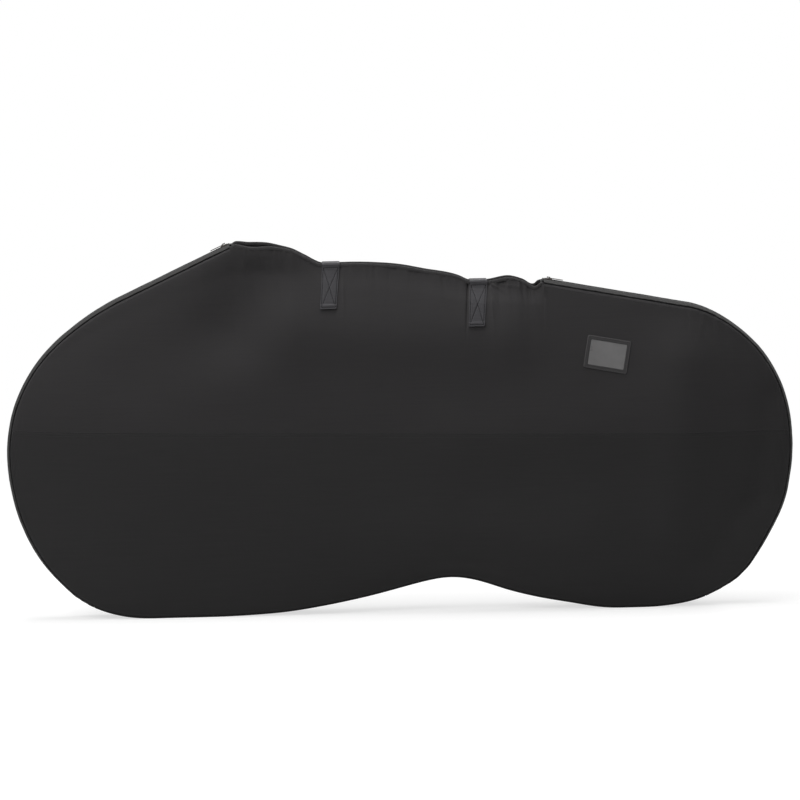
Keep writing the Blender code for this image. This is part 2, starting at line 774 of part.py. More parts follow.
def make_slider(end, collection, materials):
    """One zip's slider, closed against its top stops, with its pull lying down the zip."""
    centre = 2 * GAP + STOP_LENGTH + SLIDER_LENGTH / 2
    placing = top_end_frame(zip_indices(end)) @ Matrix.Translation((centre, 0.0, 0.0))
    # The section lies in the YZ plane of the zip's axes, and the bail in the XZ plane.
    across_zip = Matrix(((0, 0, 1, 0), (1, 0, 0, 0), (0, 1, 0, 0), (0, 0, 0, 1)))
    along_zip = Matrix.Rotation(math.pi / 2, 4, "X")
    level = Matrix.Identity(4)
    slider = outline_plate(f"{end}_zip_slider", [cap_section()], SLIDER_LENGTH, across_zip,
                           collection, materials["metal"])
    foot_top = -(TEETH_THICKNESS + GAP)
    web_height = PLATE_TOP - foot_top
    web = block(f"{end}_zip_web", (SLIDER_WEB_LENGTH, TEETH_SLIT - 2 * GAP, web_height),
                Vector((0.0, 0.0, foot_top + (web_height - SLIDER_PLATE) / 2)), level,
                collection, materials["metal"])
    foot = block(f"{end}_zip_foot", (SLIDER_LENGTH, 2 * SLIDER_HALF_WIDTH, SLIDER_PLATE),
                 Vector((0.0, 0.0, foot_top - SLIDER_PLATE / 2)), level,
                 collection, materials["metal"])
    bail = outline_plate(f"{end}_zip_bail", bail_loops(), BAIL_WIDTH, along_zip,
                         collection, materials["metal"])
    for added in (web, foot, bail):
        join_by_union(slider, added)
    slider.matrix_world = placing
    axis_point = placing @ Matrix.Translation((0.0, 0.0, PULL_AXIS))
    pull = outline_plate(f"{end}_zip_pull", pull_loops(), PULL_THICKNESS, axis_point,
                         collection, materials["metal"])
    bpy.context.view_layer.update()
    pull.parent = slider
    pull.matrix_parent_inverse = slider.matrix_world.inverted()


# Hems of the top opening
def make_hem(sign, collection, materials):
    """The elastic hem along one side of the top opening."""
    indices = station_range("rear_hem", "front_hem")
    points, _ = trimmed(indices, HEM_END_GAP, HEM_END_GAP)
    rows = []
    for drop in (0.0, HEM_HEIGHT):
        row = []
        for point in points:
            depth = BAND_WIDTH / 2 - COVER_THICKNESS / 2 - hem_lean(point.x)
            row.append(Vector((point.x, sign * depth, point.y - drop)))
        rows.append(row)
    sheet(f"{side_name(sign)}_hem", rows, HEM_THICKNESS, 0.0, [Vector((0, sign, 0))],
          collection, materials["hem"])


# Straps
def strap_columns(run):
    """The side cover's columns under a strap."""
    first = STATIONS[RUN_STARTS[run]].x
    last = STATIONS[RUN_STARTS[run] + RUN_STEPS[run]].x
    low = min(first, last) - GAP
    high = max(first, last) + GAP
    return [(edge, seam) for edge, seam in UPPER_COLUMNS if low < edge.x < high]


def strap_axis(run):
    """Where a strap folds over the near hem: depth from the middle of the bag, and height."""
    edge_x = STATIONS[RUN_STARTS[run]].x
    hem_face = BAND_WIDTH / 2 - COVER_THICKNESS / 2 - hem_lean(edge_x) + HEM_THICKNESS / 2
    depth = hem_face + GAP + STRAP_THICKNESS / 2
    height = STATIONS[RUN_STARTS[run]].y + GAP + STRAP_THICKNESS / 2
    return depth, height


def patch_rows(columns, lift):
    """Rows that follow the near cover under a strap, below the hem."""
    return cover_rows(columns, STRAP_ROW_SHARES, lift)


def make_strap(run, collection, materials):
    """One strap: its sewn near end, its free flap, and the two fastener patches on the far side."""
    columns = strap_columns(run)
    xs = [edge.x for edge, seam in columns]
    depth, height = strap_axis(run)
    hem_foot = STATIONS[RUN_STARTS[run]].y - HEM_HEIGHT
    half = COVER_THICKNESS / 2
    on_cover = half + GAP + STRAP_THICKNESS / 2
    sewn = [[Vector((x, -depth, height - STRAP_HINGE_GAP)) for x in xs],
            [Vector((x, -depth, hem_foot)) for x in xs]]
    sewn += patch_rows(columns, on_cover)
    sheet(run, sewn, STRAP_THICKNESS, 0.0, [Vector((0, -1, 0))], collection, materials["webbing"])

    loop_lift = half + GAP + LOOP_THICKNESS / 2
    hook_lift = loop_lift + LOOP_THICKNESS / 2 + GAP + HOOK_THICKNESS / 2
    flap_lift = hook_lift + HOOK_THICKNESS / 2 + GAP + STRAP_THICKNESS / 2
    far_depth = depth + flap_lift - on_cover
    pivot = Vector((sum(xs) / len(xs), -depth, height))
    flap = [[Vector((x, -depth, height)) for x in xs],
            [Vector((x, far_depth - STRAP_CHAMFER, height)) for x in xs],
            [Vector((x, far_depth, height - STRAP_CHAMFER)) for x in xs],
            [Vector((x, far_depth, hem_foot)) for x in xs]]
    flap += mirrored(patch_rows(columns, flap_lift), -1)
    aim = [Vector((0, 1, 1))]
    free = sheet(f"{run}_flap", flap, STRAP_THICKNESS, 0.0, aim, collection, materials["webbing"])
    set_origin(free, pivot)
    outward_far = [Vector((0, 1, 0))]
    hooks = sheet(f"{run}_hook_patch", mirrored(patch_rows(columns, hook_lift), -1),
                  HOOK_THICKNESS, 0.0, outward_far, collection, materials["fastener"])
    set_origin(hooks, pivot)
    sheet(f"{run}_loop_patch", mirrored(patch_rows(columns, loop_lift), -1),
          LOOP_THICKNESS, 0.0, outward_far, collection, materials["fastener"])


# Name window
def near_surface(x, z):
    """The middle surface of the near upper cover at a place in side view, and its outward normal."""
    for (edge, seam), (next_edge, next_seam) in zip(UPPER_COLUMNS, UPPER_COLUMNS[1:]):
        if edge.x <= x <= next_edge.x:
            share = (x - edge.x) / (next_edge.x - edge.x)
            top = edge.lerp(next_edge, share)
            bottom = seam.lerp(next_seam, share)
            row_share = (top.y - z) / (top.y - bottom.y)
            here = cover_point(top, bottom, row_share, 0.0)
            step = CORNER_HEIGHT / (top.y - bottom.y)
            below = cover_point(top, bottom, row_share + step, 0.0)
            beside = cover_point(next_edge, next_seam, row_share, 0.0)
            normal = (beside - here).cross(here - below).normalized()
            return here, normal if normal.y < 0 else -normal
    raise ValueError("the name window lies outside the cover")


def make_name_window(collection, materials):
    """A clear film in a sewn frame, tilted with the top edge of the bag and seated on the cover."""
    here, normal = near_surface(WINDOW_X_SHARE * BAG_LENGTH / 2, WINDOW_Z_SHARE * BAG_HEIGHT)
    reach = (WINDOW_WIDTH + WINDOW_HEIGHT) / 2
    highest = 0.0
    for row in cover_rows(UPPER_COLUMNS, ROW_SHARES, 0.0):
        for point in row:
            if (point - here).length < reach:
                highest = max(highest, (point - here).dot(normal))
    seat = highest + COVER_THICKNESS / 2 + GAP
    right = Vector((0, 0, 1)).cross(normal).normalized()
    up = normal.cross(right)
    turn = Matrix((right, up, normal)).transposed().to_4x4()
    tilt = Matrix.Rotation(math.radians(WINDOW_TILT_DEG), 4, "Z")
    base = Matrix.Translation(here) @ turn @ tilt
    frame_place = base @ Matrix.Translation((0, 0, seat + FRAME_THICKNESS / 2))
    outer = rounded_rectangle(WINDOW_WIDTH + 2 * FRAME_BORDER, WINDOW_HEIGHT + 2 * FRAME_BORDER,
                              FRAME_CORNER, FRAME_CORNER_STEPS)
    inner = rounded_rectangle(WINDOW_WIDTH, WINDOW_HEIGHT, FRAME_CORNER / 2, FRAME_CORNER_STEPS)
    film = rounded_rectangle(WINDOW_WIDTH - 2 * GAP, WINDOW_HEIGHT - 2 * GAP, FRAME_CORNER / 2,
                             FRAME_CORNER_STEPS)
    outline_plate("name_window_frame", [outer, inner], FRAME_THICKNESS, frame_place,
                  collection, materials["hem"])
    outline_plate("name_window_film", [film], WINDOW_FILM, frame_place, collection, materials["film"])


def make_materials():
    """The part's materials."""
    return {
        "upper_fabric": make_material("upper_fabric", (0.040, 0.037, 0.040), 0.85),
        "lower_fabric": make_material("lower_fabric", (0.022, 0.021, 0.022), 0.88),
        "band": make_material("band_fabric", (0.055, 0.054, 0.054), 0.80),
        "tape": make_material("zip_tape", (0.030, 0.030, 0.030), 0.85),
        "teeth": make_material("zip_teeth", (0.025, 0.025, 0.026), 0.45),
        "metal": make_material("zip_metal", (0.420, 0.400, 0.370), 0.35, metallic=1.0),
        "binding": make_material("binding_tape", (0.030, 0.030, 0.031), 0.85),
        "hem": make_material("hem_fabric", (0.030, 0.029, 0.030), 0.85),
        "webbing": make_material("webbing", (0.075, 0.075, 0.080), 0.75),
        "fastener": make_material("hook_and_loop", (0.015, 0.015, 0.016), 0.95),
        "film": make_material("clear_film", (0.350, 0.345, 0.345), 0.15, alpha=0.6),
    }


def main():
    """Build the whole bag."""
    for old in list(bpy.data.objects):
        bpy.data.objects.remove(old)
    collection = make_collection(PART_NAME)
    materials = make_materials()
    for sign in (-1, 1):
        make_covers(sign, collection, materials)
        make_seam_binding(sign, collection, materials)
        make_edge_binding(sign, collection, materials)
        make_hem(sign, collection, materials)
    make_base_band(collection, materials)
    for end in ("front", "rear"):
        make_zip(end, collection, materials)
        make_slider(end, collection, materials)
    for run in STRAP_RUNS:
        make_strap(run, collection, materials)
    make_name_window(collection, materials)


main()
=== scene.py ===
"""Looks of a long soft travel bag: fabric, seams, stitching, zips, webbing and a name window.

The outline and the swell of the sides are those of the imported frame, traced more finely. X runs along
the bag with its front end at -X, the near side is -Y, and the bag stands on the floor at Z = 0.
"""

import math

import bpy
import numpy as np
from mathutils import Matrix, Vector


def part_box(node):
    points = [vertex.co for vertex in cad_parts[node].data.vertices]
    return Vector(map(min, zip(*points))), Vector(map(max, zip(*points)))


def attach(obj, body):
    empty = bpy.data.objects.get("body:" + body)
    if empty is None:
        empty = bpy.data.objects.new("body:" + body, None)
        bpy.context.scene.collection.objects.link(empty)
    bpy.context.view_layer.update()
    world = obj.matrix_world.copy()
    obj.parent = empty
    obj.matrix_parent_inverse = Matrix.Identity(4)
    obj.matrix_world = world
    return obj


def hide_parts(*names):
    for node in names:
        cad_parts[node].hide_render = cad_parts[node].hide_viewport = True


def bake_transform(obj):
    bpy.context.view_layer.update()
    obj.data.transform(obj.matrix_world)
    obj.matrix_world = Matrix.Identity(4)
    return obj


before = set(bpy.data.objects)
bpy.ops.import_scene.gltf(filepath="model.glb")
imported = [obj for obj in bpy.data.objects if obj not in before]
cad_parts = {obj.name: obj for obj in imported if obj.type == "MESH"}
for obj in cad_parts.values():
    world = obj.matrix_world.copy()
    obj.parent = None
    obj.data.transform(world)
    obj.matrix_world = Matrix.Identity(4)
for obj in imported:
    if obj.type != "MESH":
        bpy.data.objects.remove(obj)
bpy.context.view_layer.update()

# Whole bag, as in the frame
BAG_LENGTH = 1.700
BAG_HEIGHT = 0.809
BAND_HALF_WIDTH = 0.033
SIDE_CROWN = 0.045
CROWN_POWER = 5.0
SIDE_INSET = 0.005
INSET_HEIGHT = 0.150
SEAM_FRONT_HEIGHT = 0.415
SEAM_REAR_HEIGHT = 0.382
CREASE_SHARE = 0.08
FAN_SHARE = 0.15

# Fineness of the meshes
OUTLINE_STEP = 0.006
HEM_STEP = 0.0016
SPAN_STEPS = 24
SMOOTHING_REACH = 0.060
SMOOTHING_STEP = 0.003
SMOOTHING_EASE = 0.050
FINEST_ROW = 0.0005
COARSEST_ROW = 0.006
ROW_GROWTH = 1.22
PANEL_DEPTH = 0.40
SEAM_TAPE_COLUMNS = 240
SEAM_TAPE_ROWS = 9
BAND_ROWS = 12
LIP_ROWS = 10
TAPE_ROWS = 8
SHARP_ANGLE_DEG = 50
LINE_NOISE_KNOTS = 4096
SIDE_NOISE_KNOTS = 64

# A small rounded rod, such as a stitch: its sides, and its girth at places along it
ROD_SIDES = 6
ROD_PLACE_SHARES = (0.0, 0.18, 0.82, 1.0)
ROD_GIRTH_SHARES = (0.45, 1.0, 1.0, 0.45)

# Fabric panels
FABRIC_THICKNESS = 0.0012
PANEL_EDGE_SINK = 0.0034
PANEL_EDGE_FALL = 0.0024
PANEL_EDGE_ROLL = 0.0060
PANEL_EDGE_STITCH = 0.0064
SEAM_LAP_STITCH = 0.0070
SEAM_FOLD_STITCH = 0.0020
SEAM_LAP_WIDTH = 0.0090
SEAM_LAP_RISE = 0.0003
SEAM_CORNER = 0.00008
STITCH_DIP = 0.00030
STITCH_DIP_WIDTH = 0.0011
SEAM_LAP_EASE = 0.002
SEAM_LAP_END_EASE = 0.020
SEAM_PUCKER = 0.00025
SEAM_PUCKER_LENGTH = 0.004
SEAM_PUCKER_WIDTH = 0.007
SEAM_TAPE_WIDTH = 0.016
SEAM_TAPE_GAP = 0.0016
SEAM_TAPE_SLOPE = 0.12
SEWN_EASE = 0.006
WINDOW_EASE = 0.015

# How a side swells from its upper edge, which is evened out for it along the opening
CROWN_EASE = 0.090
CROWN_JOIN = 0.035
CROWN_STEP = 0.002
CROWN_EVEN_END_SHARE = 0.66
CROWN_EVEN_EASE_SHARE = 0.10
RELIEF_EASE_SHARE = 0.14
FOLD_RISE_SHARE = 0.15
FOLD_EASE = 0.020
FOLD_SEAM_SHARE = 0.3

# Band round the edge
BAND_SHOULDER = 0.020
BAND_EDGE = 0.0307
BAND_FOLD = 0.012
BAND_FOLD_DROP = 0.0009
BAND_THICKNESS = 0.0009
BAND_STITCH = 0.0150
LIP_CENTRE = 0.0296
LIP_RADIUS = 0.0012
LIP_END_DEG = -75
BINDING_THICKNESS = 0.0008
BINDING_TRIM = 0.0010
STRIP_TRIM = 0.0006

# Puckers of a band strip, each by its height and its wavelength: along its seam, and all over it
BAND_PUCKERS = ((0.00030, 0.006), (0.00040, 0.017))
BAND_WAVE = 0.00020
BAND_WAVE_LENGTH = 0.030

# The fold of a band strip beside the zip: its width, places across from where it starts, and their
# depths as shares of its drop
BAND_FOLD_WIDTH = 0.0026
BAND_FOLD_PLACES = (0.0006, 0.0001, 0.0002, 0.0008, 0.0016)
BAND_FOLD_DROP_SHARES = (2.0, 1.1, 0.5, 0.12, 0.0)

# The binding in the seam beside the band: places across, and depths below the band's shoulder. It
# lies under the band, bends out into the groove between the band and the panel, and goes in again.
# Where it bends out into the groove, its near-black colour is painted shade, standing in for the
# groove's shadow.
BINDING_ACROSS = (0.0214, 0.0250, 0.0284, 0.0289, 0.0293, 0.0296, 0.0296, 0.0292, 0.0287)
BINDING_DROPS = (0.0014, 0.0014, 0.0014, 0.0017, 0.0023, 0.0031, 0.0039, 0.0047, 0.0057)

# Zips
TAPE_INNER = 0.0038
TAPE_OUTER = 0.0180
TAPE_TOP = 0.0018
TAPE_THICKNESS = 0.0009
TAPE_END = 0.013
TAPE_END_FALL = 0.007
TOOTH_PITCH = 0.0018
TOOTH_REACH = 0.0036
TOOTH_LAP = 0.0003
TOOTH_HALF_LENGTH = 0.0006
TOOTH_HALF_HEIGHT = 0.0011
TOOTH_SINK = 0.0001
ZIP_TOP_TRIM = 0.0040
ZIP_END_TRIM = 0.0060

# Hems of the top opening
HEM_HEIGHT = 0.008
HEM_THICKNESS = 0.004
HEM_LEAN = 0.010
HEM_END_GAP = 0.001
HEM_END_LENGTH = 0.014
HEM_END_DROP = 0.0042
HEM_LIP = 0.0020
HEM_EASE = 0.012
HEM_MIDDLE_DEPTH = 0.032
NEAR_SAG = 0.0065
NEAR_SAG_X_SHARE = -0.360
NEAR_SAG_REACH_SHARE = 0.045
HEM_SIDES = 20
HEM_SQUARENESS = 0.6
HEM_PINCH_SHARE = 0.30
HEM_STITCH_SHARE = 0.80
HEM_END_SHARE = 0.5
HEM_PRESSED_SHARE = 0.25
HEM_PLUMP_SHARE = 0.20
HEM_PLUMP_LENGTH = 0.0050

# Ruffles of the hems, each by its height and its wavelength, and where they are strongest
HEM_RUFFLES = ((0.0006, 0.0045), (0.0006, 0.0110))
HEM_RUFFLE_SHARE = 0.6
HEM_RUFFLE_X = 0.235
HEM_RUFFLE_REACH = 0.070

# Webbing straps
STRAP_WIDTH = 0.038
STRAP_THICKNESS = 0.0018
STRAP_LEAN = 0.008
STRAP_CLEARANCE = 0.0004
STRAP_STEP = 0.0008
STRAP_COLUMNS = 57
STRAP_DIP = 0.0012
FRONT_FOOT_TRIM = 0.0100
FOOT_FOLD_LENGTH = 0.0110
FOOT_FOLD_RISE = 0.0018
DRAW_IN_SHARE = 0.09
FLAP_LIFT = 0.0030
FLAP_START_LIFT_SHARE = 0.7
STRAP_SMOOTHINGS = 6
STRAP_EDGE_SHARE = 0.65
STRAP_EDGE_POWER = 16
STRAP_TOP_BAND = 0.02
BOX_SIDE_MARGIN = 0.0030
BOX_FOOT_MARGIN = 0.0030
BOX_TOP_DROP = 0.0085
BOX_GROOVE = 0.00070
BOX_GROOVE_WIDTH = 0.0011
SEWN_LINE_POINTS = 60

# How a strap goes over a hem: how far it stays below it, and its turns at the hem's foot and top
HEM_PASS_DROP = 0.004
HEM_FOOT_RISE = 0.0010
HEM_TOP_TURN = 0.0015
HEM_TOP_IN = 0.0005

# Hook and loop patches, and their hooks
PATCH_STEP = 0.0016
PATCH_COLUMNS = 22
PATCH_MARGIN = 0.001
PATCH_SINK = 0.0002
LOOP_LIFT = 0.0010
LOOP_THICKNESS = 0.0008
HOOK_THICKNESS = 0.00048
HOOK_DROP = 0.0008
HOOK_REACH = (0.0003, -0.0009, 0.0003)
HOOK_RADIUS = 0.00012

# Thread
STITCH_PITCH = 0.0036
STITCH_LENGTH_SHARE = 0.78
THREAD_RADIUS = 0.00028
STRAP_STITCH_LENGTH_SHARE = 0.93
STRAP_THREAD_RADIUS = 0.00055

# Name window
WINDOW_WIDTH = 0.078
WINDOW_HEIGHT = 0.053
FRAME_BORDER = 0.0085
FRAME_RISE = 0.0013
FRAME_CORNER = 0.004
FRAME_THICKNESS = 0.0003
FRAME_POINTS = 240
CORNER_STEPS = 8
WINDOW_TILT_DEG = -10.4
WINDOW_PLACE_SHARES = (0.522, 0.691)
FILM_THICKNESS = 0.0003
FILM_LAP = 0.0010
FILM_LIFT = 0.0006
FILM_WAVE = 0.0002
FILM_WAVE_LENGTH = 0.020
FILM_COLUMNS = 50
FILM_ROWS = 36

# The window's border: shares of the way in across it, each with its share of the rise, and its rows
# of stitches with their share of that way and their thread
FRAME_PROFILE_SHARES = (
    (0.0, 0.1), (0.03, 0.6), (0.09, 0.95), (0.2, 1.0), (0.5, 0.96), (0.8, 1.0), (0.92, 0.95),
    (0.98, 0.7), (1.0, 0.35),
)
FRAME_STITCHES = (("outer", 0.16, "pale_thread"), ("inner", 0.80, "thread"))

# Zip metal, by the endings of its nodes' names
METAL_ENDINGS = ("_slider", "_pull", "_end_box", "_stop_near", "_stop_far")
METAL_MERGE = 0.00001
METAL_ROUNDING = 0.00035
METAL_ROUNDING_SEGMENTS = 3
METAL_ROUNDING_ANGLE_DEG = 35

# Woven cloths by slot: name, colour, pitch of the threads, roughness, depth of the weave and sheen
CLOTHS = {
    # Both halves are one black fabric: the upper cloth's paler colour and the lower cloth's darker one
    # are painted light and shade, paler on the half that faces the light from above.
    "upper_fabric": ("upper_cloth_painted_lighter", (0.0315, 0.0300, 0.0310), 0.0006, 0.78, 0.00008, 0.12),
    "lower_fabric": ("lower_cloth_painted_darker", (0.0284, 0.0276, 0.0281), 0.0006, 0.80, 0.00008, 0.12),
    "band_fabric": ("band_cloth", (0.0370, 0.0365, 0.0360), 0.0006, 0.80, 0.00008, 0.03),
    "tape": ("tape_cloth", (0.016, 0.016, 0.016), 0.0009, 0.75, 0.00012, 0.12),
    # The binding's near-black colour, without sheen, is partly painted shade: where it shows in the
    # groove beside the band it stands in for the groove's shadow.
    "binding": ("binding_and_groove_shade_cloth", (0.008, 0.008, 0.0085), 0.0010, 0.85, 0.00012, 0.0),
    "hem": ("hem_cloth", (0.0555, 0.0537, 0.0548), 0.0006, 0.78, 0.00008, 0.06),
}
CLOTH_CRUMPLE = 0.00025
WEBBING_COLOUR = (0.0420, 0.0408, 0.0450)
WEBBING_PITCH = 0.0022
WEBBING_DEPTH = 0.0003

# Grained materials: name, colour, scale and depth of the grain, roughness, and settings of their own
GRAINED = {
    "thread": ("thread", (0.020, 0.020, 0.021), 2500.0, 0.00005, 0.65, {}),
    "pale_thread": ("pale_thread", (0.062, 0.061, 0.062), 2500.0, 0.00005, 0.70, {}),
    # The strap thread is near-black partly as dark thread and partly as painted shade of the grooves
    # that the box stitching presses into the webbing.
    "strap_thread_and_groove_shade": ("strap_thread_and_groove_shade", (0.004, 0.004, 0.0045), 2500.0, 0.00005, 0.85,
                     {"Specular IOR Level": 0.2}),
    "teeth": ("coil_nylon", (0.018, 0.018, 0.019), 400.0, 0.00002, 0.42, {}),
    "zip_metal": ("zip_metal", (0.070, 0.062, 0.055), 900.0, 0.00004, 0.40, {"Metallic": 1.0}),
    "fastener": ("hook_nylon", (0.014, 0.014, 0.015), 1800.0, 0.0004, 0.85, {}),
    "clear_film": ("clear_film", (0.195, 0.192, 0.193), 25.0, 0.00001, 0.30,
                   {"Alpha": 0.80, "Specular IOR Level": 0.6}),
}

# Floor and room
ROOM_LIGHT = 0.15
FLOOR_SHADE = 0.46
FLOOR_GLOW = 0.66
FLOOR_SIZE = 60.0
FLOOR_DROP = 0.0003
SHADOW_REACH = 1.2
SHADOW_END = 2.6

# Soft lamps: place, the point that each one faces, width, height and power
LAMPS = {
    "overhead_softbox": ((-0.3, 0.0, 4.3), (0.0, 0.0, 0.4), 2.4, 2.0, 125.0),
    "left_softbox": ((-2.30, -2.05, 3.0), (0.0, 0.0, 0.4), 2.0, 2.0, 65.0),
    "rear_softbox": ((2.5, 1.5, 1.9), (0.0, 0.0, 0.3), 2.2, 1.4, 28.0),
}

# Camera, solved from the photograph
CAMERA_PLACE = (-0.2431, -6.9392, 1.35)
CAMERA_AIM = (-0.000776, 0.0, 0.461856)
CAMERA_ROLL_DEG = -0.9423
CAMERA_LENS = 145.589
CAMERA_SENSOR = 36.0
CAMERA_FAR = 100.0

# The outline in side view as runs, anticlockwise from the top end of the front zip. Each point is a
# share of half the length and a share of the height, and a run ends where the next one starts.
OUTLINE_SHARES = {
    "front_zip_top": [(-0.426, 0.9988)],
    "front_zip_upper": [
        (-0.706, 0.8620), (-0.818, 0.7910), (-0.880, 0.7370), (-0.9113, 0.7016),
        (-0.9422, 0.6564), (-0.9728, 0.5926), (-0.9890, 0.5393),
    ],
    "front_zip_lower": [
        (-0.9935, 0.5130), (-1.0, 0.4530), (-0.9985, 0.4100), (-0.9906, 0.3450), (-0.9555, 0.2250),
        (-0.9215, 0.1600), (-0.8728, 0.0980), (-0.8405, 0.0650),
    ],
    "front_heel": [(-0.7906, 0.0320), (-0.7506, 0.0160), (-0.7110, 0.0060)],
    "front_foot": [(-0.655, 0.0)],
    "arch": [
        (-0.506, 0.0), (-0.394, 0.0026), (-0.292, 0.0097), (-0.2153, 0.0210), (-0.0615, 0.0523),
        (0.0155, 0.0722), (0.0668, 0.0844), (0.1180, 0.0915), (0.1690, 0.0857), (0.2710, 0.0525),
        (0.3478, 0.0322), (0.4247, 0.0172), (0.5060, 0.0025),
    ],
    "rear_foot": [(0.535, 0.0)],
    "rear_heel": [(0.630, 0.0), (0.6812, 0.0042), (0.7329, 0.0126)],
    "rear_zip_lower": [
        (0.7741, 0.0258), (0.8365, 0.0590), (0.8700, 0.0845), (0.9165, 0.1500), (0.9505, 0.2126),
        (0.9788, 0.2775), (0.9930, 0.3490), (1.0, 0.4350),
    ],
    "rear_zip_upper": [
        (0.9982, 0.4722), (0.9841, 0.5604), (0.9533, 0.6397), (0.9226, 0.6890), (0.8611, 0.7524),
        (0.7996, 0.7941),
    ],
    "rear_zip_top": [(0.7353, 0.8177)],
    "rear_hem": [(0.3670, 0.8894), (0.3435, 0.8735), (0.3180, 0.8868), (0.2860, 0.8970)],
    "rear_strap": [(0.2244, 0.8890)],
    "middle_hem": [
        (0.1797, 0.8890), (0.1541, 0.9010), (0.0635, 0.9216), (0.0033, 0.9340), (-0.0571, 0.9400),
        (-0.1100, 0.9422),
    ],
    "front_strap": [(-0.1482, 0.9420)],
    "front_hem": [
        (-0.1929, 0.9420), (-0.2376, 0.9650), (-0.2676, 0.9808), (-0.2976, 0.9895),
        (-0.3276, 0.9969), (-0.3760, 0.9994),
    ],
}
STRAIGHT_RUNS = ("front_zip_top", "front_foot", "rear_foot", "rear_zip_top")
HEM_RUNS = ("rear_hem", "rear_strap", "middle_hem", "front_strap", "front_hem")
STRAP_RUNS = ("front_strap", "rear_strap")
FLAP_BODIES = {"front_strap": "front_flap", "rear_strap": "rear_flap"}

# Broad hollows and swells of the sides, each along a line between two places in shares of half the
# length and of the height, with its half width and its rise.
SWELLS = (
    ((-0.35, 0.90), (-0.43, 0.78), 0.080, -0.0130),
    ((-0.43, 0.78), (-0.66, 0.66), 0.080, -0.0060),
    ((0.71, 0.66), (0.69, 0.22), 0.075, 0.0130),
    ((0.94, 0.56), (0.90, 0.30), 0.032, -0.0040),
    ((0.90, 0.30), (0.78, 0.15), 0.032, -0.0040),
    ((-0.05, 0.21), (0.42, 0.19), 0.060, 0.0040),
    ((0.12, 0.19), (0.46, 0.17), 0.140, 0.0140),
    ((-0.26, 0.78), (0.24, 0.75), 0.085, 0.0120),
    ((0.16, 0.48), (0.54, 0.50), 0.085, 0.0070),
)

# Soft folds, each from one end to the other in the same shares, with its half width and its rise.
FOLDS = (
    ((-0.142, 0.900), (-0.140, 0.780), 0.0030, 0.0014),
    ((0.228, 0.880), (0.262, 0.800), 0.0020, 0.0018),
    ((0.228, 0.884), (0.292, 0.846), 0.0020, 0.0018),
    ((0.232, 0.850), (0.240, 0.745), 0.0024, 0.0014),
    ((0.250, 0.880), (0.330, 0.868), 0.0020, 0.0012),
    ((0.300, 0.885), (0.318, 0.800), 0.0024, 0.0012),
    ((0.335, 0.870), (0.350, 0.785), 0.0024, 0.0010),
    ((0.362, 0.880), (0.380, 0.800), 0.0026, 0.0012),
    ((-0.400, 0.960), (-0.350, 0.800), 0.0110, 0.0020),
    ((-0.330, 0.960), (-0.280, 0.820), 0.0100, 0.0014),
    ((0.780, 0.815), (0.740, 0.670), 0.0028, 0.0016),
    ((0.806, 0.805), (0.796, 0.715), 0.0028, 0.0015),
    ((0.832, 0.780), (0.826, 0.700), 0.0030, 0.0010),
)

# The narrow pleat beside the rear strap on the near side, given in the same way.
STRAP_PLEAT = ((0.1755, 0.905), (0.1648, 0.725), 0.0020, -0.0050)

# Broad unevenness of the sides, by its height, wavelength and seed.
UNEVENNESS = ((0.0016, 0.21, 11), (0.0006, 0.09, 23))

# Gathers that run in from a sewn edge: their wavelengths, the slope that each has there, and how many
# wavelengths they reach. Then their strength everywhere, under the hem, behind the rear strap and
# where the rear zip's seam turns down.
PUCKERS = ((0.007, 0.15), (0.013, 0.16), (0.027, 0.09), (0.055, 0.05))
PUCKER_REACH = 1.6
PLAIN_GATHER = 0.45
HEM_GATHER = 0.65
HEM_GATHER_END_SHARE = 0.3
STRAP_GATHER = 2.0
STRAP_GATHER_X_SHARE = 0.275
STRAP_GATHER_REACH_SHARE = 0.075
SHOULDER_GATHER = 1.1
SHOULDER_GATHER_X_SHARE = 0.740
SHOULDER_GATHER_REACH_SHARE = 0.110


# Small mathematics
def eased(share):
    """A share held between nought and one, and eased in and out."""
    share = np.clip(share, 0.0, 1.0)
    return share * share * (3 - 2 * share)


def hump(distance, width):
    """One at no distance, and smoothly down to nought within a few widths of it."""
    return np.exp(-((distance / width) ** 2))


def ripple(along, wavelength, seed):
    """Seeded smooth noise along a line, from -1 to 1, that swings about once in each wavelength."""
    knots = np.random.default_rng(seed).uniform(-1.0, 1.0, LINE_NOISE_KNOTS)
    place = np.asarray(along) / wavelength
    whole = np.floor(place).astype(int)
    share = eased(place - whole)
    return knots[whole % LINE_NOISE_KNOTS] * (1 - share) + knots[(whole + 1) % LINE_NOISE_KNOTS] * share


def ripples(along, waves, seed):
    """The sum of several ripples, each given by its height and its wavelength."""
    return sum(height * ripple(along, wavelength, seed + step)
               for step, (height, wavelength) in enumerate(waves))


def swell_noise(x, z, wavelength, seed):
    """Seeded smooth noise over a side, from -1 to 1."""
    knots = np.random.default_rng(seed).uniform(-1.0, 1.0, (SIDE_NOISE_KNOTS, SIDE_NOISE_KNOTS))
    columns = np.floor(x / wavelength).astype(int)
    rows = np.floor(z / wavelength).astype(int)
    across = eased(x / wavelength - columns)
    up = eased(z / wavelength - rows)

    def row_values(row):
        left = knots[row % SIDE_NOISE_KNOTS, columns % SIDE_NOISE_KNOTS]
        right = knots[row % SIDE_NOISE_KNOTS, (columns + 1) % SIDE_NOISE_KNOTS]
        return left * (1 - across) + right * across

    return row_values(rows) * (1 - up) + row_values(rows + 1) * up


def lengths_along(points):
    """The distance along a line of points to each of them."""
    steps = np.linalg.norm(np.diff(points, axis=0), axis=1)
    return np.concatenate([[0.0], np.cumsum(steps)])


def read_off(places, along, values):
    """Values on a line at given distances along it, between those at its own points."""
    return np.stack([np.interp(places, along, one) for one in values.T], axis=1)


def resampled(points, count):
    """A line of points with a given number of even steps."""
    along = lengths_along(points)
    return read_off(np.linspace(0.0, along[-1], count + 1), along, points)


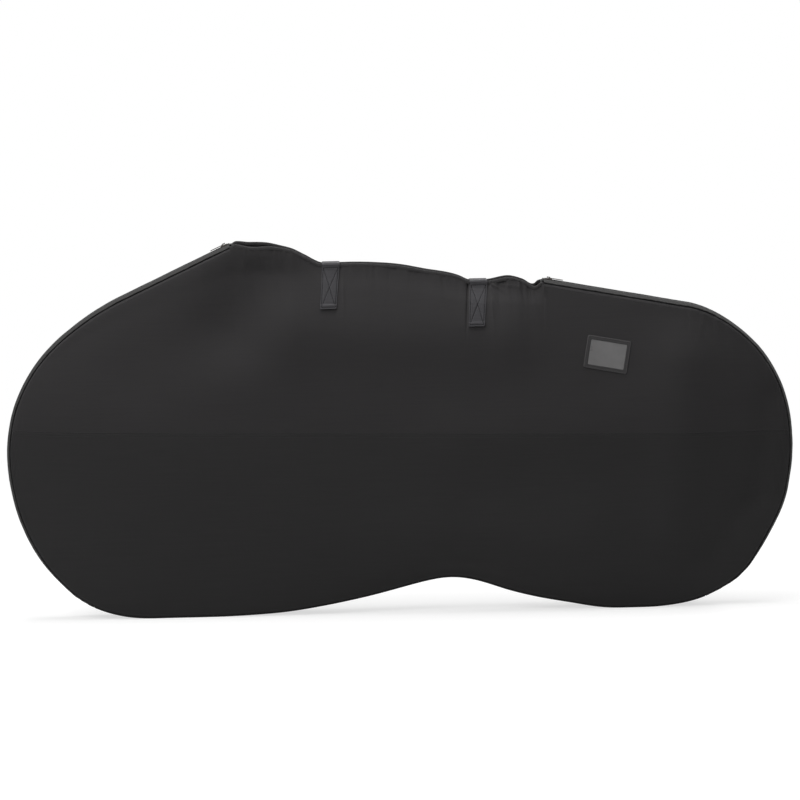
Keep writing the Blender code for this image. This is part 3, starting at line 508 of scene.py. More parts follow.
def in_metres(shares):
    """A place in side view from its shares of half the length and of the height."""
    return np.array(shares) * (BAG_LENGTH / 2, BAG_HEIGHT)


def unit(vectors):
    """Vectors with a length of one."""
    return vectors / np.maximum(np.linalg.norm(vectors, axis=-1, keepdims=True), 1e-12)


def distance_to_line(x, y, start, end):
    """How far places lie from a line between two points."""
    way_x = end[0] - start[0]
    way_y = end[1] - start[1]
    share = ((x - start[0]) * way_x + (y - start[1]) * way_y) / (way_x ** 2 + way_y ** 2)
    share = np.clip(share, 0.0, 1.0)
    return np.hypot(x - start[0] - share * way_x, y - start[1] - share * way_y)


def graded_shares(total, finest, coarsest):
    """Shares of a length from nought to one, close together at both of its ends."""
    steps = []
    step = finest
    while 2 * sum(steps) < total:
        steps.append(min(step, coarsest))
        step *= ROW_GROWTH
    half = np.concatenate([[0.0], np.cumsum(steps)])
    half = half / half[-1] / 2
    return np.concatenate([half, 1 - half[-2::-1]])


# Outline
def own_points():
    """The outline's own points, each with its run; a strap's run is as wide as the strap."""
    listed = []
    for run, shares in OUTLINE_SHARES.items():
        listed += [(run, in_metres(share)) for share in shares]
    for index, (run, point) in enumerate(listed):
        if run in STRAP_RUNS:
            following = listed[index + 1][1]
            middle = (point[0] + following[0]) / 2
            point[0] = middle + STRAP_WIDTH / 2
            following[0] = middle - STRAP_WIDTH / 2
    return listed


def headings(listed):
    """A unit direction at each outline point, in line with any straight run that meets it there."""
    found = []
    for index, (run, point) in enumerate(listed):
        before_run, before = listed[index - 1]
        back = point - before
        ahead = listed[(index + 1) % len(listed)][1] - point
        if before_run in STRAIGHT_RUNS:
            found.append(unit(back))
        elif run in STRAIGHT_RUNS:
            found.append(unit(ahead))
        else:
            found.append(unit(unit(back) * np.linalg.norm(ahead) + unit(ahead) * np.linalg.norm(back)))
    return found


def cubic(start, end, start_heading, end_heading):
    """Fine points on the curve between two outline points, without its first one."""
    reach = np.linalg.norm(end - start)
    share = (np.arange(1, SPAN_STEPS + 1) / SPAN_STEPS)[:, None]
    square = share * share
    cube = square * share
    return (
        start * (2 * cube - 3 * square + 1) + end * (3 * square - 2 * cube)
        + start_heading * reach * (cube - 2 * square + share) + end_heading * reach * (cube - square)
    )


def trace():
    """All stations round the bag, and the first and the last index of each run."""
    listed = own_points()
    directions = headings(listed)
    stations = []
    spans = {}
    for run in OUTLINE_SHARES:
        inside = [index for index, (name, _) in enumerate(listed) if name == run]
        fine = [listed[inside[0]][1][None]]
        for index in inside:
            after = (index + 1) % len(listed)
            fine.append(cubic(listed[index][1], listed[after][1], directions[index], directions[after]))
        fine = np.concatenate(fine)
        step = HEM_STEP if run in HEM_RUNS else OUTLINE_STEP
        count = max(1, round(lengths_along(fine)[-1] / step))
        first = sum(len(part) for part in stations)
        stations.append(resampled(fine, count)[:-1])
        spans[run] = (first, first + count)
    stations = np.concatenate(stations)
    return smoothed(stations, spans), spans


def averaged(ring):
    """A closed ring of points, each one the weighted mean of those near it."""
    reach = round(SMOOTHING_REACH / SMOOTHING_STEP)
    window = np.hanning(2 * reach + 1)
    weights = window / window.sum()
    return sum(weight * np.roll(ring, shift, axis=0)
               for weight, shift in zip(weights, range(-reach, reach + 1)))


def smoothed(stations, spans):
    """The outline with its small unevenness evened out, but not along the opening or beside it."""
    closed = np.concatenate([stations, stations[:1]])
    along = lengths_along(closed)
    count = round(along[-1] / SMOOTHING_STEP)
    fine = resampled(closed, count)[:-1]
    once = averaged(fine)
    evened = 2 * once - averaged(once)
    places = along[:-1] / along[-1] * count
    evened = read_off(places, np.arange(count + 1), np.concatenate([evened, evened[:1]]))
    first = along[spans["rear_zip_top"][0]]
    last = along[spans["front_zip_top"][1]] + along[-1]
    here = along[:-1][:, None] + along[-1] * np.array((0, 1))
    outside = np.maximum(first - here, here - last).min(axis=1)
    share = eased(outside / SMOOTHING_EASE)[:, None]
    return stations * (1 - share) + evened * share


STATIONS, SPANS = trace()
TURNS = unit(np.roll(STATIONS, -1, axis=0) - np.roll(STATIONS, 1, axis=0))
NORMALS = np.stack([TURNS[:, 1], -TURNS[:, 0]], axis=1)
ROUND = lengths_along(STATIONS)
OPENING_FRONT = STATIONS[SPANS["front_zip_top"][0]][0]
OPENING_REAR = STATIONS[SPANS["rear_hem"][0]][0]


def stretch(first_run, last_run):
    """Station indices from the start of one run to the end of another, in outline order."""
    first = SPANS[first_run][0]
    last = SPANS[last_run][1]
    if last < first:
        last += len(STATIONS)
    return np.arange(first, last + 1) % len(STATIONS)


def edge_inset(height):
    """How far the seams lie inside the band's middle: nothing at the floor."""
    return SIDE_INSET * np.clip(height / INSET_HEIGHT, 0.0, 1.0)


def hem_lean(x):
    """How far the hems lean in towards each other, all of it between the two straps."""
    front_strap = STATIONS[SPANS["front_hem"][0]][0]
    rear_strap = STATIONS[SPANS["rear_strap"][0]][0]
    rise = eased((x - OPENING_FRONT) / (front_strap - OPENING_FRONT))
    fall = eased((OPENING_REAR - x) / (OPENING_REAR - rear_strap))
    return HEM_LEAN * np.minimum(rise, fall)


def hem_sag(x, sign):
    """How far the near hem hangs below the outline where it is slack, at its front end."""
    if sign > 0:
        return np.zeros(np.shape(x))
    return NEAR_SAG * hump(x / (BAG_LENGTH / 2) - NEAR_SAG_X_SHARE, NEAR_SAG_REACH_SHARE)


def hem_shares(ease):
    """For each station, nought by the band and one under a hem, eased at the opening's two ends."""
    indices = stretch("rear_hem", "front_hem")
    along = lengths_along(STATIONS[indices])
    shares = np.zeros(len(STATIONS))
    shares[indices] = np.minimum(eased(along / ease), eased((along[-1] - along) / ease))
    return shares


# Sides
def seam_height(x):
    """Height of the seam between a side's two halves."""
    share = (x + BAG_LENGTH / 2) / BAG_LENGTH
    return SEAM_FRONT_HEIGHT + (SEAM_REAR_HEIGHT - SEAM_FRONT_HEIGHT) * share


def crown_depth(x):
    """How far the seam stands out from the band at a place along the bag."""
    reach = BAG_LENGTH / 2 - 2 * SIDE_INSET
    return SIDE_CROWN * np.maximum(0.0, 1.0 - np.abs(x / reach) ** CROWN_POWER)


def crown_rise(share):
    """The share of the crown reached on the way from the edge to the seam."""
    return (1 - CREASE_SHARE) * (1 - (1 - share) ** 2) + CREASE_SHARE * share


def ridge(x, z, start, end, width, rise):
    """A soft fold between two places of a side."""
    start = in_metres(start)
    end = in_metres(end)
    reach = np.linalg.norm(end - start)
    way = (end - start) / reach
    along = ((x - start[0]) * way[0] + (z - start[1]) * way[1]) / reach
    beside = (x - start[0]) * way[1] - (z - start[1]) * way[0]
    taper = eased(along / FOLD_RISE_SHARE) * eased((1 - along) / (1 - FOLD_RISE_SHARE))
    return rise * hump(beside, width) * taper


def broad_relief(x, z, sign):
    """The soft swells of a side, which what is sewn on it follows."""
    height = np.zeros(np.shape(x))
    for start, end, width, rise in SWELLS:
        away = distance_to_line(x, z, in_metres(start), in_metres(end))
        height = height + rise * hump(away, width)
    for rise, wavelength, seed in UNEVENNESS:
        height = height + rise * swell_noise(x, z, wavelength, seed + sign)
    return height


def sewn_mask(x, z, sign):
    """One where a strap lies on the side, and on the near side under the window, else nought."""
    mask = np.zeros(np.shape(x))
    for run in STRAP_RUNS:
        middle = strap_middle(run, z) if sign < 0 else strap_middle(run, STATIONS[SPANS[run][0]][1])
        beside = np.abs(x - middle) - STRAP_WIDTH / 2
        below = strap_foot(run, sign) - z
        mask = np.maximum(mask, eased(1 - np.maximum(beside, below) / SEWN_EASE))
    if sign < 0:
        beside = np.abs(x - WINDOW_CENTRE[0]) - WINDOW_WIDTH / 2
        above = np.abs(z - WINDOW_CENTRE[1]) - WINDOW_HEIGHT / 2
        away = np.maximum(beside, above) - 2 * FRAME_BORDER
        mask = np.maximum(mask, eased(1 - away / WINDOW_EASE))
    return mask


def edge_puckers(along, inward, strength, seed):
    """Small gathers that run in from a sewn edge: the finer ones die out first."""
    height = np.zeros(np.shape(inward))
    for step, (wavelength, slope) in enumerate(PUCKERS):
        swing = ripple(along, wavelength / 2, seed + step)
        fading = np.exp(-inward / (PUCKER_REACH * wavelength))
        height = height + slope * wavelength / math.pi * swing * fading
    return height * strength


STRAP_BOXES = {run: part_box(run) for run in STRAP_RUNS}
WINDOW_CENTRE = in_metres(WINDOW_PLACE_SHARES)


def strap_foot(run, sign):
    """The height of a strap's lower end on a side."""
    trim = FRONT_FOOT_TRIM if run == "front_strap" and sign < 0 else 0.0
    return STRAP_BOXES[run][0].z + trim


def strap_middle(run, z):
    """Where a strap's middle lies along the bag at a height: it leans to the front on its way down."""
    low, high = STRAP_BOXES[run]
    fallen = np.clip((high.z - z) / (high.z - strap_foot(run, -1)), 0.0, 1.0)
    return (low.x + high.x) / 2 - STRAP_LEAN * fallen


def panel_edge(upper, sign, ease):
    """One half's edge from the front end of the seam to its rear end: points, hem shares and the
    distance round the bag. Points of the upper edge that would turn back are left out."""
    way = 1 if upper else -1
    hem = hem_shares(ease)
    inset = (edge_inset(STATIONS[:, 1]) + PANEL_EDGE_SINK) * (1 - hem)
    drop = (HEM_HEIGHT - HEM_LIP + hem_sag(STATIONS[:, 0], sign)) * hem
    ring = STATIONS - NORMALS * inset[:, None]
    ring[:, 1] -= drop
    heights = way * (ring[:, 1] - seam_height(ring[:, 0]))
    inside = heights > 2 * SEAM_CORNER
    first = int(np.nonzero(inside & ~np.roll(inside, 1))[0][0])
    order = (first + np.arange(int(inside.sum()))) % len(STATIONS)
    edge = ring[order]
    corners = []
    for end, outside in ((order[0], order[0] - 1), (order[-1], (order[-1] + 1) % len(STATIONS))):
        share = (heights[end] - SEAM_CORNER) / (heights[end] - heights[outside])
        corners.append(ring[end] * (1 - share) + ring[outside] * share)
    edge = np.concatenate([corners[0][None], edge, corners[1][None]])
    order = np.concatenate([order[:1], order, order[-1:]])
    if upper:
        edge = edge[::-1]
        order = order[::-1]
        reached = np.maximum.accumulate(edge[:, 0])
        ahead = np.concatenate([[True], edge[1:, 0] > reached[:-1]])
        edge = edge[ahead]
        order = order[ahead]
    return edge, hem[order], ROUND[order]


def panel_columns(upper, sign):
    """The edge, the seam's points that its columns run to, the hem shares and the distance round."""
    edge, hem, along = panel_edge(upper, sign, HEM_EASE)
    steps = np.diff(edge, axis=0)
    fan = 0.0 if upper else FAN_SHARE
    progress = np.abs(steps[:, 0]) + fan * np.linalg.norm(steps, axis=1)
    progress = np.concatenate([[0.0], np.cumsum(progress)])
    x = edge[0, 0] + (edge[-1, 0] - edge[0, 0]) * progress / progress[-1]
    gap = SEAM_CORNER if upper else -SEAM_CORNER
    seam = np.stack([x, seam_height(x) + gap], axis=1)
    return edge, seam, hem, along


def evened_crown(edge):
    """A side's upper edge evened out along the opening, so its dips don't run down the whole side."""
    x = np.arange(edge[0, 0], edge[-1, 0], CROWN_STEP)
    z = np.interp(x, edge[:, 0], edge[:, 1])
    reach = round(CROWN_EASE / CROWN_STEP)
    window = np.hanning(2 * reach + 1)
    evened = np.convolve(np.pad(z, reach, mode="edge"), window / window.sum(), mode="valid")
    share = eased((CROWN_EVEN_END_SHARE - np.abs(x) / (BAG_LENGTH / 2)) / CROWN_EVEN_EASE_SHARE)
    return np.stack([x, z * (1 - share) + evened * share], axis=1)


# The line that each side swells from: its upper edge, without the quick drops at the opening's ends,
# and the same line evened out.
CROWN_EDGES = {sign: panel_edge(True, sign, CROWN_EASE)[0] for sign in (-1, 1)}
EVENED_CROWNS = {sign: evened_crown(edge) for sign, edge in CROWN_EDGES.items()}


def dip(distance, place):
    """The shallow trough that a row of stitches pulls into the cloth."""
    return STITCH_DIP * hump(distance - place, STITCH_DIP_WIDTH)


def side_depth(x, z, sign):
    """Depth of a side's face above the seam, where its columns are upright, with its soft swells."""
    edge = np.interp(x, CROWN_EDGES[sign][:, 0], CROWN_EDGES[sign][:, 1])
    evened = np.interp(x, EVENED_CROWNS[sign][:, 0], EVENED_CROWNS[sign][:, 1])
    top = edge + (evened - edge) * eased((edge - z) / CROWN_JOIN)
    share = np.clip((top - z) / np.maximum(top - seam_height(x), SEAM_CORNER), 0.0, 1.0)
    lean = hem_lean(x) * (1 - share) ** 2
    relief = broad_relief(x, z, sign) * eased(share / RELIEF_EASE_SHARE)
    return BAND_HALF_WIDTH - lean + crown_depth(x) * crown_rise(share) + relief


def panel_surface(upper, sign):
    """The outer face of one half of a side, rows from its edge to its seam, and its UV in metres."""
    edge, seam, hem, along = panel_columns(upper, sign)
    share = graded_shares(PANEL_DEPTH, FINEST_ROW, COARSEST_ROW)[:, None]
    x = edge[:, 0] * (1 - share) + seam[:, 0] * share
    z = edge[:, 1] * (1 - share) + seam[:, 1] * share
    long = np.linalg.norm(seam - edge, axis=1)
    inward = share * long
    to_seam = (1 - share) * long
    if upper:
        depth = side_depth(x, z, sign)
    else:
        relief = broad_relief(x, z, sign) * eased(share / RELIEF_EASE_SHARE)
        depth = BAND_HALF_WIDTH + crown_depth(x) * crown_rise(share) + relief
    free = 1 - sewn_mask(x, z, sign)
    puckers = edge_puckers(along, inward, gather_strength(edge[:, 0], upper), 40 + 10 * sign)
    creases = sum(ridge(x, z, *fold) for fold in FOLDS)
    depth = depth + (puckers + creases) * free * eased(to_seam / FOLD_EASE + FOLD_SEAM_SHARE)
    if sign < 0:
        depth = depth + ridge(x, z, *STRAP_PLEAT)
    turned = np.clip(1 - inward / PANEL_EDGE_ROLL, 0.0, 1.0) ** 2 * (1 - hem)
    depth = depth - PANEL_EDGE_FALL * turned - dip(inward, PANEL_EDGE_STITCH) * (1 - hem)
    depth = depth - dip(to_seam, 0.0)
    if not upper:
        lapped = eased((SEAM_LAP_WIDTH - to_seam) / SEAM_LAP_EASE) * eased(inward / SEAM_LAP_END_EASE)
        depth = depth + SEAM_LAP_RISE * lapped - dip(to_seam, SEAM_LAP_STITCH)
    swing = ripple(x, SEAM_PUCKER_LENGTH, 77 + sign)
    depth = depth - SEAM_PUCKER * swing * hump(to_seam, SEAM_PUCKER_WIDTH)
    return np.stack([x, sign * depth, z], axis=-1), np.stack([x, z], axis=-1)


def gather_strength(x, upper):
    """How strongly the cloth is gathered along a half's edge: most under the hem behind the rear
    strap, and some where the rear zip's seam turns down."""
    if not upper:
        return np.full(np.shape(x), PLAIN_GATHER)
    past_front = eased((x - OPENING_FRONT) / CROWN_EASE)
    under_hem = past_front * eased((OPENING_REAR - x) / CROWN_EASE + HEM_GATHER_END_SHARE)
    x_share = x / (BAG_LENGTH / 2)
    beside_strap = STRAP_GATHER * hump(x_share - STRAP_GATHER_X_SHARE, STRAP_GATHER_REACH_SHARE)
    shoulder = SHOULDER_GATHER * hump(x_share - SHOULDER_GATHER_X_SHARE, SHOULDER_GATHER_REACH_SHARE)
    return PLAIN_GATHER + (HEM_GATHER + beside_strap) * under_hem + shoulder


# Meshes
def make_mesh(name, points, faces, uv, material):
    """An object from points and faces, shaded smooth, with a UV map in metres."""
    mesh = bpy.data.meshes.new(name)
    mesh.from_pydata(np.asarray(points).reshape(-1, 3).tolist(), [], faces)
    layer = mesh.uv_layers.new(name="Cut")
    corners = np.zeros(len(mesh.loops), np.int32)
    mesh.loops.foreach_get("vertex_index", corners)
    layer.data.foreach_set("uv", np.asarray(uv, np.float32).reshape(-1, 2)[corners].ravel())
    mesh.shade_smooth()
    mesh.set_sharp_from_angle(angle=math.radians(SHARP_ANGLE_DEG))
    mesh.materials.append(material)
    made = bpy.data.objects.new(name, mesh)
    bpy.context.scene.collection.objects.link(made)
    return made


def faced_normals(points, toward):
    """Unit normals of a grid of points on the side that toward looks along, and 1, or -1 where they
    had to be turned to that side."""
    normals = unit(np.cross(np.gradient(points, axis=1), np.gradient(points, axis=0)))
    way = 1 if (normals * toward).sum() >= 0 else -1
    return normals * way, way


def shell(name, outer, thickness, uv, toward, material):
    """A closed sheet of cloth whose outer face is a grid of points. toward is a direction for each
    point, or for all, that the outer face looks along."""
    normals, way = faced_normals(outer, toward)
    inner = outer - normals * thickness
    rows, columns = outer.shape[:2]
    count = rows * columns
    index = np.arange(count).reshape(rows, columns)
    quads = np.stack([index[:-1, :-1], index[1:, :-1], index[1:, 1:], index[:-1, 1:]], axis=-1)
    quads = quads.reshape(-1, 4)
    border = np.concatenate([index[0, :-1], index[:-1, -1], index[-1, :0:-1], index[:0:-1, 0]])
    after = np.roll(border, -1)
    rim = np.stack([border, after, after + count, border + count], axis=-1)
    faces = np.concatenate([quads, (quads + count)[:, ::-1], rim])[:, ::way]
    return make_mesh(name, np.stack([outer, inner]), faces.tolist(), np.stack([uv, uv]), material)


def tube(name, rings, uv, material):
    """A closed tube through rings of points, with flat ends."""
    count, sides = rings.shape[:2]
    index = np.arange(count * sides).reshape(count, sides)
    beside = np.roll(index, -1, axis=1)
    faces = np.stack([index[:-1], beside[:-1], beside[1:], index[1:]], axis=-1).reshape(-1, 4).tolist()
    faces.append(index[0, ::-1].tolist())
    faces.append(index[-1].tolist())
    return make_mesh(name, rings, faces, uv, material)


def rods(name, starts, ends, ups, half_width, half_height, material, sink=0.0):
    """Many small rounded rods in one object, each from a start to an end, with its ends sunk."""
    along = unit(ends - starts)
    ups = unit(ups - along * (ups * along).sum(-1, keepdims=True))
    sides = np.cross(along, ups)
    rings = []
    for place, girth in zip(ROD_PLACE_SHARES, ROD_GIRTH_SHARES):
        centre = starts * (1 - place) + ends * place - ups * sink * (1 - girth)
        ring = []
        for side in range(ROD_SIDES):
            angle = math.tau * side / ROD_SIDES
            ring.append(centre + girth * (sides * half_width * math.cos(angle)
                                          + ups * half_height * math.sin(angle)))
        rings.append(np.stack(ring, axis=1))
    points = np.stack(rings, axis=1)
    per = len(rings) * ROD_SIDES
    index = np.arange(per).reshape(len(rings), ROD_SIDES)
    beside = np.roll(index, -1, axis=1)
    quads = np.stack([index[:-1], index[1:], beside[1:], beside[:-1]], axis=-1).reshape(-1, 4)
    shifts = (np.arange(len(starts)) * per)[:, None, None]
    faces = (quads[None] + shifts).reshape(-1, 4).tolist()
    faces += (index[0][None] + shifts[:, 0]).tolist()
    faces += (index[-1, ::-1][None] + shifts[:, 0]).tolist()
    uv = np.stack([points[..., 0], points[..., 2]], axis=-1)
    return make_mesh(name, points, faces, uv, material)


def stitches(name, lines, material, body="bag", slot="binding", radius=THREAD_RADIUS,
             length_share=STITCH_LENGTH_SHARE):
    """Rows of thread along lines: each line is a pair of its points and its outward directions."""
    starts = []
    ends = []
    ups = []
    for line, outward in lines:
        along = lengths_along(line)
        count = int(along[-1] / STITCH_PITCH)
        middle = (np.arange(count) + 0.5) * along[-1] / count
        half = length_share * STITCH_PITCH / 2
        starts.append(read_off(middle - half, along, line))
        ends.append(read_off(middle + half, along, line))
        ups.append(read_off(middle, along, outward))
    made = rods(name, np.concatenate(starts), np.concatenate(ends), np.concatenate(ups), radius,
                radius, material, sink=2 * radius)
    dress(made, body, slot)


def dress(made, body, slot, *nodes):
    """Seat a piece on its body if one is given, and let it stand for its nodes. Its slot is not used."""
    if body:
        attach(made, body)
    if nodes:
        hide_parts(*nodes)


def side_name(sign):
    """near for the -Y side and far for the +Y side."""
    return "near" if sign < 0 else "far"


# Materials
def put(tree, kind, inputs=None, **settings):
    """A node with its settings, and its inputs set or linked."""
    made = tree.nodes.new(kind)
    for key, value in settings.items():
        setattr(made, key, value)
    for socket, value in (inputs or {}).items():
        if isinstance(value, bpy.types.NodeSocket):
            tree.links.new(value, made.inputs[socket])
        else:
            made.inputs[socket].default_value = value
    return made


def maths(tree, operation, first, second=0.0, third=0.0):
    """The result of a Math node."""
    return put(tree, "ShaderNodeMath", {0: first, 1: second, 2: third}, operation=operation).outputs[0]


def noise(tree, place, scale, detail):
    """The value of a Noise Texture."""
    inputs = {"Vector": place, "Scale": scale, "Detail": detail}
    return put(tree, "ShaderNodeTexNoise", inputs).outputs[0]


def bump(tree, height, depth, strength, **under):
    """The normal of a bumped surface, over another one where that is given as Normal."""
    inputs = {"Height": height, "Distance": depth, "Strength": strength, **under}
    return put(tree, "ShaderNodeBump", inputs).outputs[0]


def tinted(tree, colour, contrast, factor):
    """A colour that runs from darker to paler with a factor."""
    dark, pale = ([channel * level for channel in colour] + [1.0]
                  for level in (1 - contrast, 1 + contrast))
    return put(tree, "ShaderNodeMix", {0: factor, 6: dark, 7: pale}, data_type="RGBA").outputs[2]


def cut_places(tree):
    """The place on the cloth as it was cut, and its two distances."""
    cut = put(tree, "ShaderNodeUVMap", uv_map="Cut").outputs[0]
    parts = put(tree, "ShaderNodeSeparateXYZ", {0: cut})
    return cut, parts.outputs[0], parts.outputs[1]


def new_material(name, constants):
    """A Principled material and its shader, with constants set on the shader itself."""
    material = bpy.data.materials.new(name)
    material.use_nodes = True
    shader = material.node_tree.nodes["Principled BSDF"]
    for socket, value in constants.items():
        shader.inputs[socket].default_value = value
    return material, shader


def set_finish(tree, shader, colour, roughness, normal):
    """Link the colour, the roughness and the normal to a shader."""
    for socket, value in (("Base Color", colour), ("Roughness", roughness), ("Normal", normal)):
        tree.links.new(value, shader.inputs[socket])


def cloth_material(name, colour, pitch, roughness, weave_depth, sheen):
    """Plain-woven cloth: crossing threads, uneven yarn, faint creases and a soft sheen."""
    material, shader = new_material(
        name, {"Sheen Weight": sheen, "Sheen Roughness": 0.45, "Specular IOR Level": 0.20})
    tree = material.node_tree
    cut, across, along = cut_places(tree)
    turns = math.tau / (2 * pitch)
    warp = maths(tree, "SINE", maths(tree, "MULTIPLY", across, turns))
    weft = maths(tree, "SINE", maths(tree, "MULTIPLY", along, turns))
    weave = maths(tree, "MULTIPLY", warp, weft)
    streaks = put(tree, "ShaderNodeMapping", {0: cut, 3: (9.0, 260.0, 1.0)}).outputs[0]
    yarn = noise(tree, streaks, 1.0, 3.0)
    clouds = noise(tree, cut, 14.0, 4.0)
    grain = noise(tree, cut, 900.0, 2.0)
    tone = 0.0
    for pattern, share in ((yarn, 0.45), (clouds, 0.35), (grain, 0.20), (weave, 0.10)):
        tone = maths(tree, "MULTIPLY_ADD", pattern, share, tone)
    rough = maths(tree, "MULTIPLY_ADD", clouds, 0.12, roughness - 0.06)
    soft = bump(tree, noise(tree, cut, 70.0, 3.0), CLOTH_CRUMPLE, 1.0)
    woven = bump(tree, weave, weave_depth, 0.6, Normal=soft)
    set_finish(tree, shader, tinted(tree, colour, 0.22, tone), rough, woven)
    return material


def webbing_material(name, colour, pitch, depth):
    """Ribbed webbing: raised ribs across it, each of slanted threads, with painted shade that darkens
    the colour in the hollows between the ribs.
    """
    material, shader = new_material(
        name, {"Sheen Weight": 0.15, "Sheen Roughness": 0.4, "Specular IOR Level": 0.30})
    tree = material.node_tree
    cut, across, along = cut_places(tree)
    across = maths(tree, "MULTIPLY", across, math.tau / pitch)
    along = maths(tree, "MULTIPLY", along, math.tau / (1.4 * pitch))
    slant = maths(tree, "SINE", maths(tree, "ADD", across, along))
    ribs = maths(tree, "MULTIPLY", maths(tree, "SINE", along), 0.6)
    height = maths(tree, "MULTIPLY_ADD", slant, 0.4, ribs)
    clouds = noise(tree, cut, 60.0, 4.0)
    # Painted shade: the colour follows the ribs' height and is darker in the hollows between them; the
    # clouds are the webbing's own uneven tone.
    tone = maths(tree, "MULTIPLY_ADD", height, 0.22, clouds)
    rough = maths(tree, "MULTIPLY_ADD", clouds, 0.2, 0.6)
    set_finish(tree, shader, tinted(tree, colour, 0.25, tone), rough, bump(tree, height, depth, 0.8))
    return material


def grained_material(name, colour, scale, depth, roughness, constants):
    """A material with a fine grain in its colour, roughness and surface, placed by the object."""
    material, shader = new_material(name, constants)
    tree = material.node_tree
    grain = noise(tree, put(tree, "ShaderNodeTexCoord").outputs["Object"], scale, 4.0)
    rough = maths(tree, "MULTIPLY_ADD", grain, 0.2, roughness - 0.1)
    set_finish(tree, shader, tinted(tree, colour, 0.3, grain), rough, bump(tree, grain, depth, 0.7))
    return material


def make_materials():
    """Every material of the bag, by its slot or its use."""
    made = {slot: cloth_material(*settings) for slot, settings in CLOTHS.items()}
    made["webbing"] = webbing_material("strap_webbing", WEBBING_COLOUR, WEBBING_PITCH, WEBBING_DEPTH)
    made.update({use: grained_material(*settings) for use, settings in GRAINED.items()})
    return made


# Pieces of the sides
def make_panels(sign, materials):
    """Both fabric halves of one side."""
    side = side_name(sign)
    for half in ("upper", "lower"):
        grid, uv = panel_surface(half == "upper", sign)
        slot = f"{half}_fabric"
        made = shell(f"{side}_{half}_panel", grid, FABRIC_THICKNESS, uv, (0.0, sign, 0.0),
                     materials[slot])
        dress(made, "bag", slot, f"{side}_{half}_cover")


def make_panel_stitches(sign, materials):
    """Two rows of thread along the seam between the halves, and one beside the band all round."""
    lines = []
    for upper, keep in ((False, SEAM_LAP_STITCH), (True, SEAM_FOLD_STITCH)):
        grid, _ = panel_surface(upper, sign)
        lines.append(line_at(grid, keep, from_seam=True))
        line, outward = line_at(grid, PANEL_EDGE_STITCH, from_seam=False)
        hem = panel_columns(upper, sign)[2]
        lines += [(line[run], outward[run]) for run in runs_of(hem < 0.01)]
    stitches(f"{side_name(sign)}_panel_stitching", lines, materials["thread"])


def runs_of(mask):
    """The unbroken runs of true values, as lists of their indices."""
    places = np.nonzero(mask)[0]
    return [run for run in np.split(places, np.nonzero(np.diff(places) > 1)[0] + 1) if len(run) > 4]


def line_at(grid, keep, from_seam):
    """The line on a panel at a distance from its seam or its edge, and its outward directions."""
    normals, _ = faced_normals(grid, (0.0, grid[0, 0, 1], 0.0))
    if from_seam:
        grid = grid[::-1]
        normals = normals[::-1]
    line = []
    outward = []
    for column in range(grid.shape[1]):
        along = lengths_along(grid[:, column])
        line.append(read_off([keep], along, grid[:, column])[0])
        outward.append(read_off([keep], along, normals[:, column])[0])
    return np.array(line), np.array(outward)


def make_seam_tape(sign, materials):
    """The binding tape inside a side, over the seam between its halves."""
    side = side_name(sign)
    low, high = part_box(f"{side}_seam_binding")
    x = np.linspace(low.x, high.x, SEAM_TAPE_COLUMNS)
    rows = np.linspace(-0.5, 0.5, SEAM_TAPE_ROWS)[:, None] * SEAM_TAPE_WIDTH
    seam = BAND_HALF_WIDTH + crown_depth(x) + broad_relief(x, seam_height(x), sign)
    depth = seam - FABRIC_THICKNESS - SEAM_TAPE_GAP - np.abs(rows) * SEAM_TAPE_SLOPE
    x, z = np.broadcast_arrays(x, seam_height(x) + rows)
    grid = np.stack([x, sign * depth, z], axis=-1)
    made = shell(f"{side}_seam_tape", grid, BINDING_THICKNESS, grid[..., ::2], (0.0, sign, 0.0),
                 materials["binding"])
    dress(made, "bag", "binding", f"{side}_seam_binding")


# Pieces of the band
def shoulder_drop(across, height):
    """How far the band's face lies below its middle, at a distance from the middle. Its lip, beyond
    the lip's centre, goes on from there."""
    place = min(abs(across), LIP_CENTRE)
    share = max(0.0, (place - BAND_SHOULDER) / (BAND_EDGE - BAND_SHOULDER))
    return edge_inset(height) * share


def in_space(flat, y):
    """Points or directions in side view as ones in space, all at one place across the bag."""
    return np.stack([flat[:, 0], np.full(len(flat), y), flat[:, 1]], axis=-1)


def swept(indices, trim, across, drops):
    """A grid swept along the outline, trimmed at both ends: across gives each row's place and drops
    its depth below the outline for each station's height. Its UV is the distance along and across."""
    whole = lengths_along(STATIONS[indices])
    last = whole[-1] - trim
    along = np.concatenate([[trim], whole[(whole > trim) & (whole < last)], [last]])
    points = read_off(along, whole, STATIONS[indices])
    normals = unit(read_off(along, whole, NORMALS[indices]))
    rows = []
    for place, drop in zip(across, drops):
        depth = np.broadcast_to(drop(points[:, 1], along), len(points))
        rows.append(in_space(points - normals * depth[:, None], place))
    uv = np.stack(np.broadcast_arrays(along, np.array(across)[:, None]), axis=-1)
    return np.stack(rows), uv, in_space(normals, 0.0)[None]


def zip_stations(end):
    """The stations of one zip, from its top end to its lower end."""
    if end == "front":
        return stretch("front_zip_top", "front_zip_lower")
    return stretch("rear_zip_lower", "rear_zip_top")[::-1]


def band_profile(inner):
    """Places across a band, from its middle or beside its fold out to the turned-down lip at the
    seam, and how much lower than its shoulder each of them lies."""
    plain = np.linspace(inner, LIP_CENTRE, BAND_ROWS)[:-1]
    angle = np.radians(np.linspace(90, LIP_END_DEG, LIP_ROWS))
    across = np.concatenate([plain, LIP_CENTRE + LIP_RADIUS * np.cos(angle)])
    extra = np.concatenate([np.zeros(len(plain)), LIP_RADIUS * (1 - np.sin(angle))])
    return across, extra


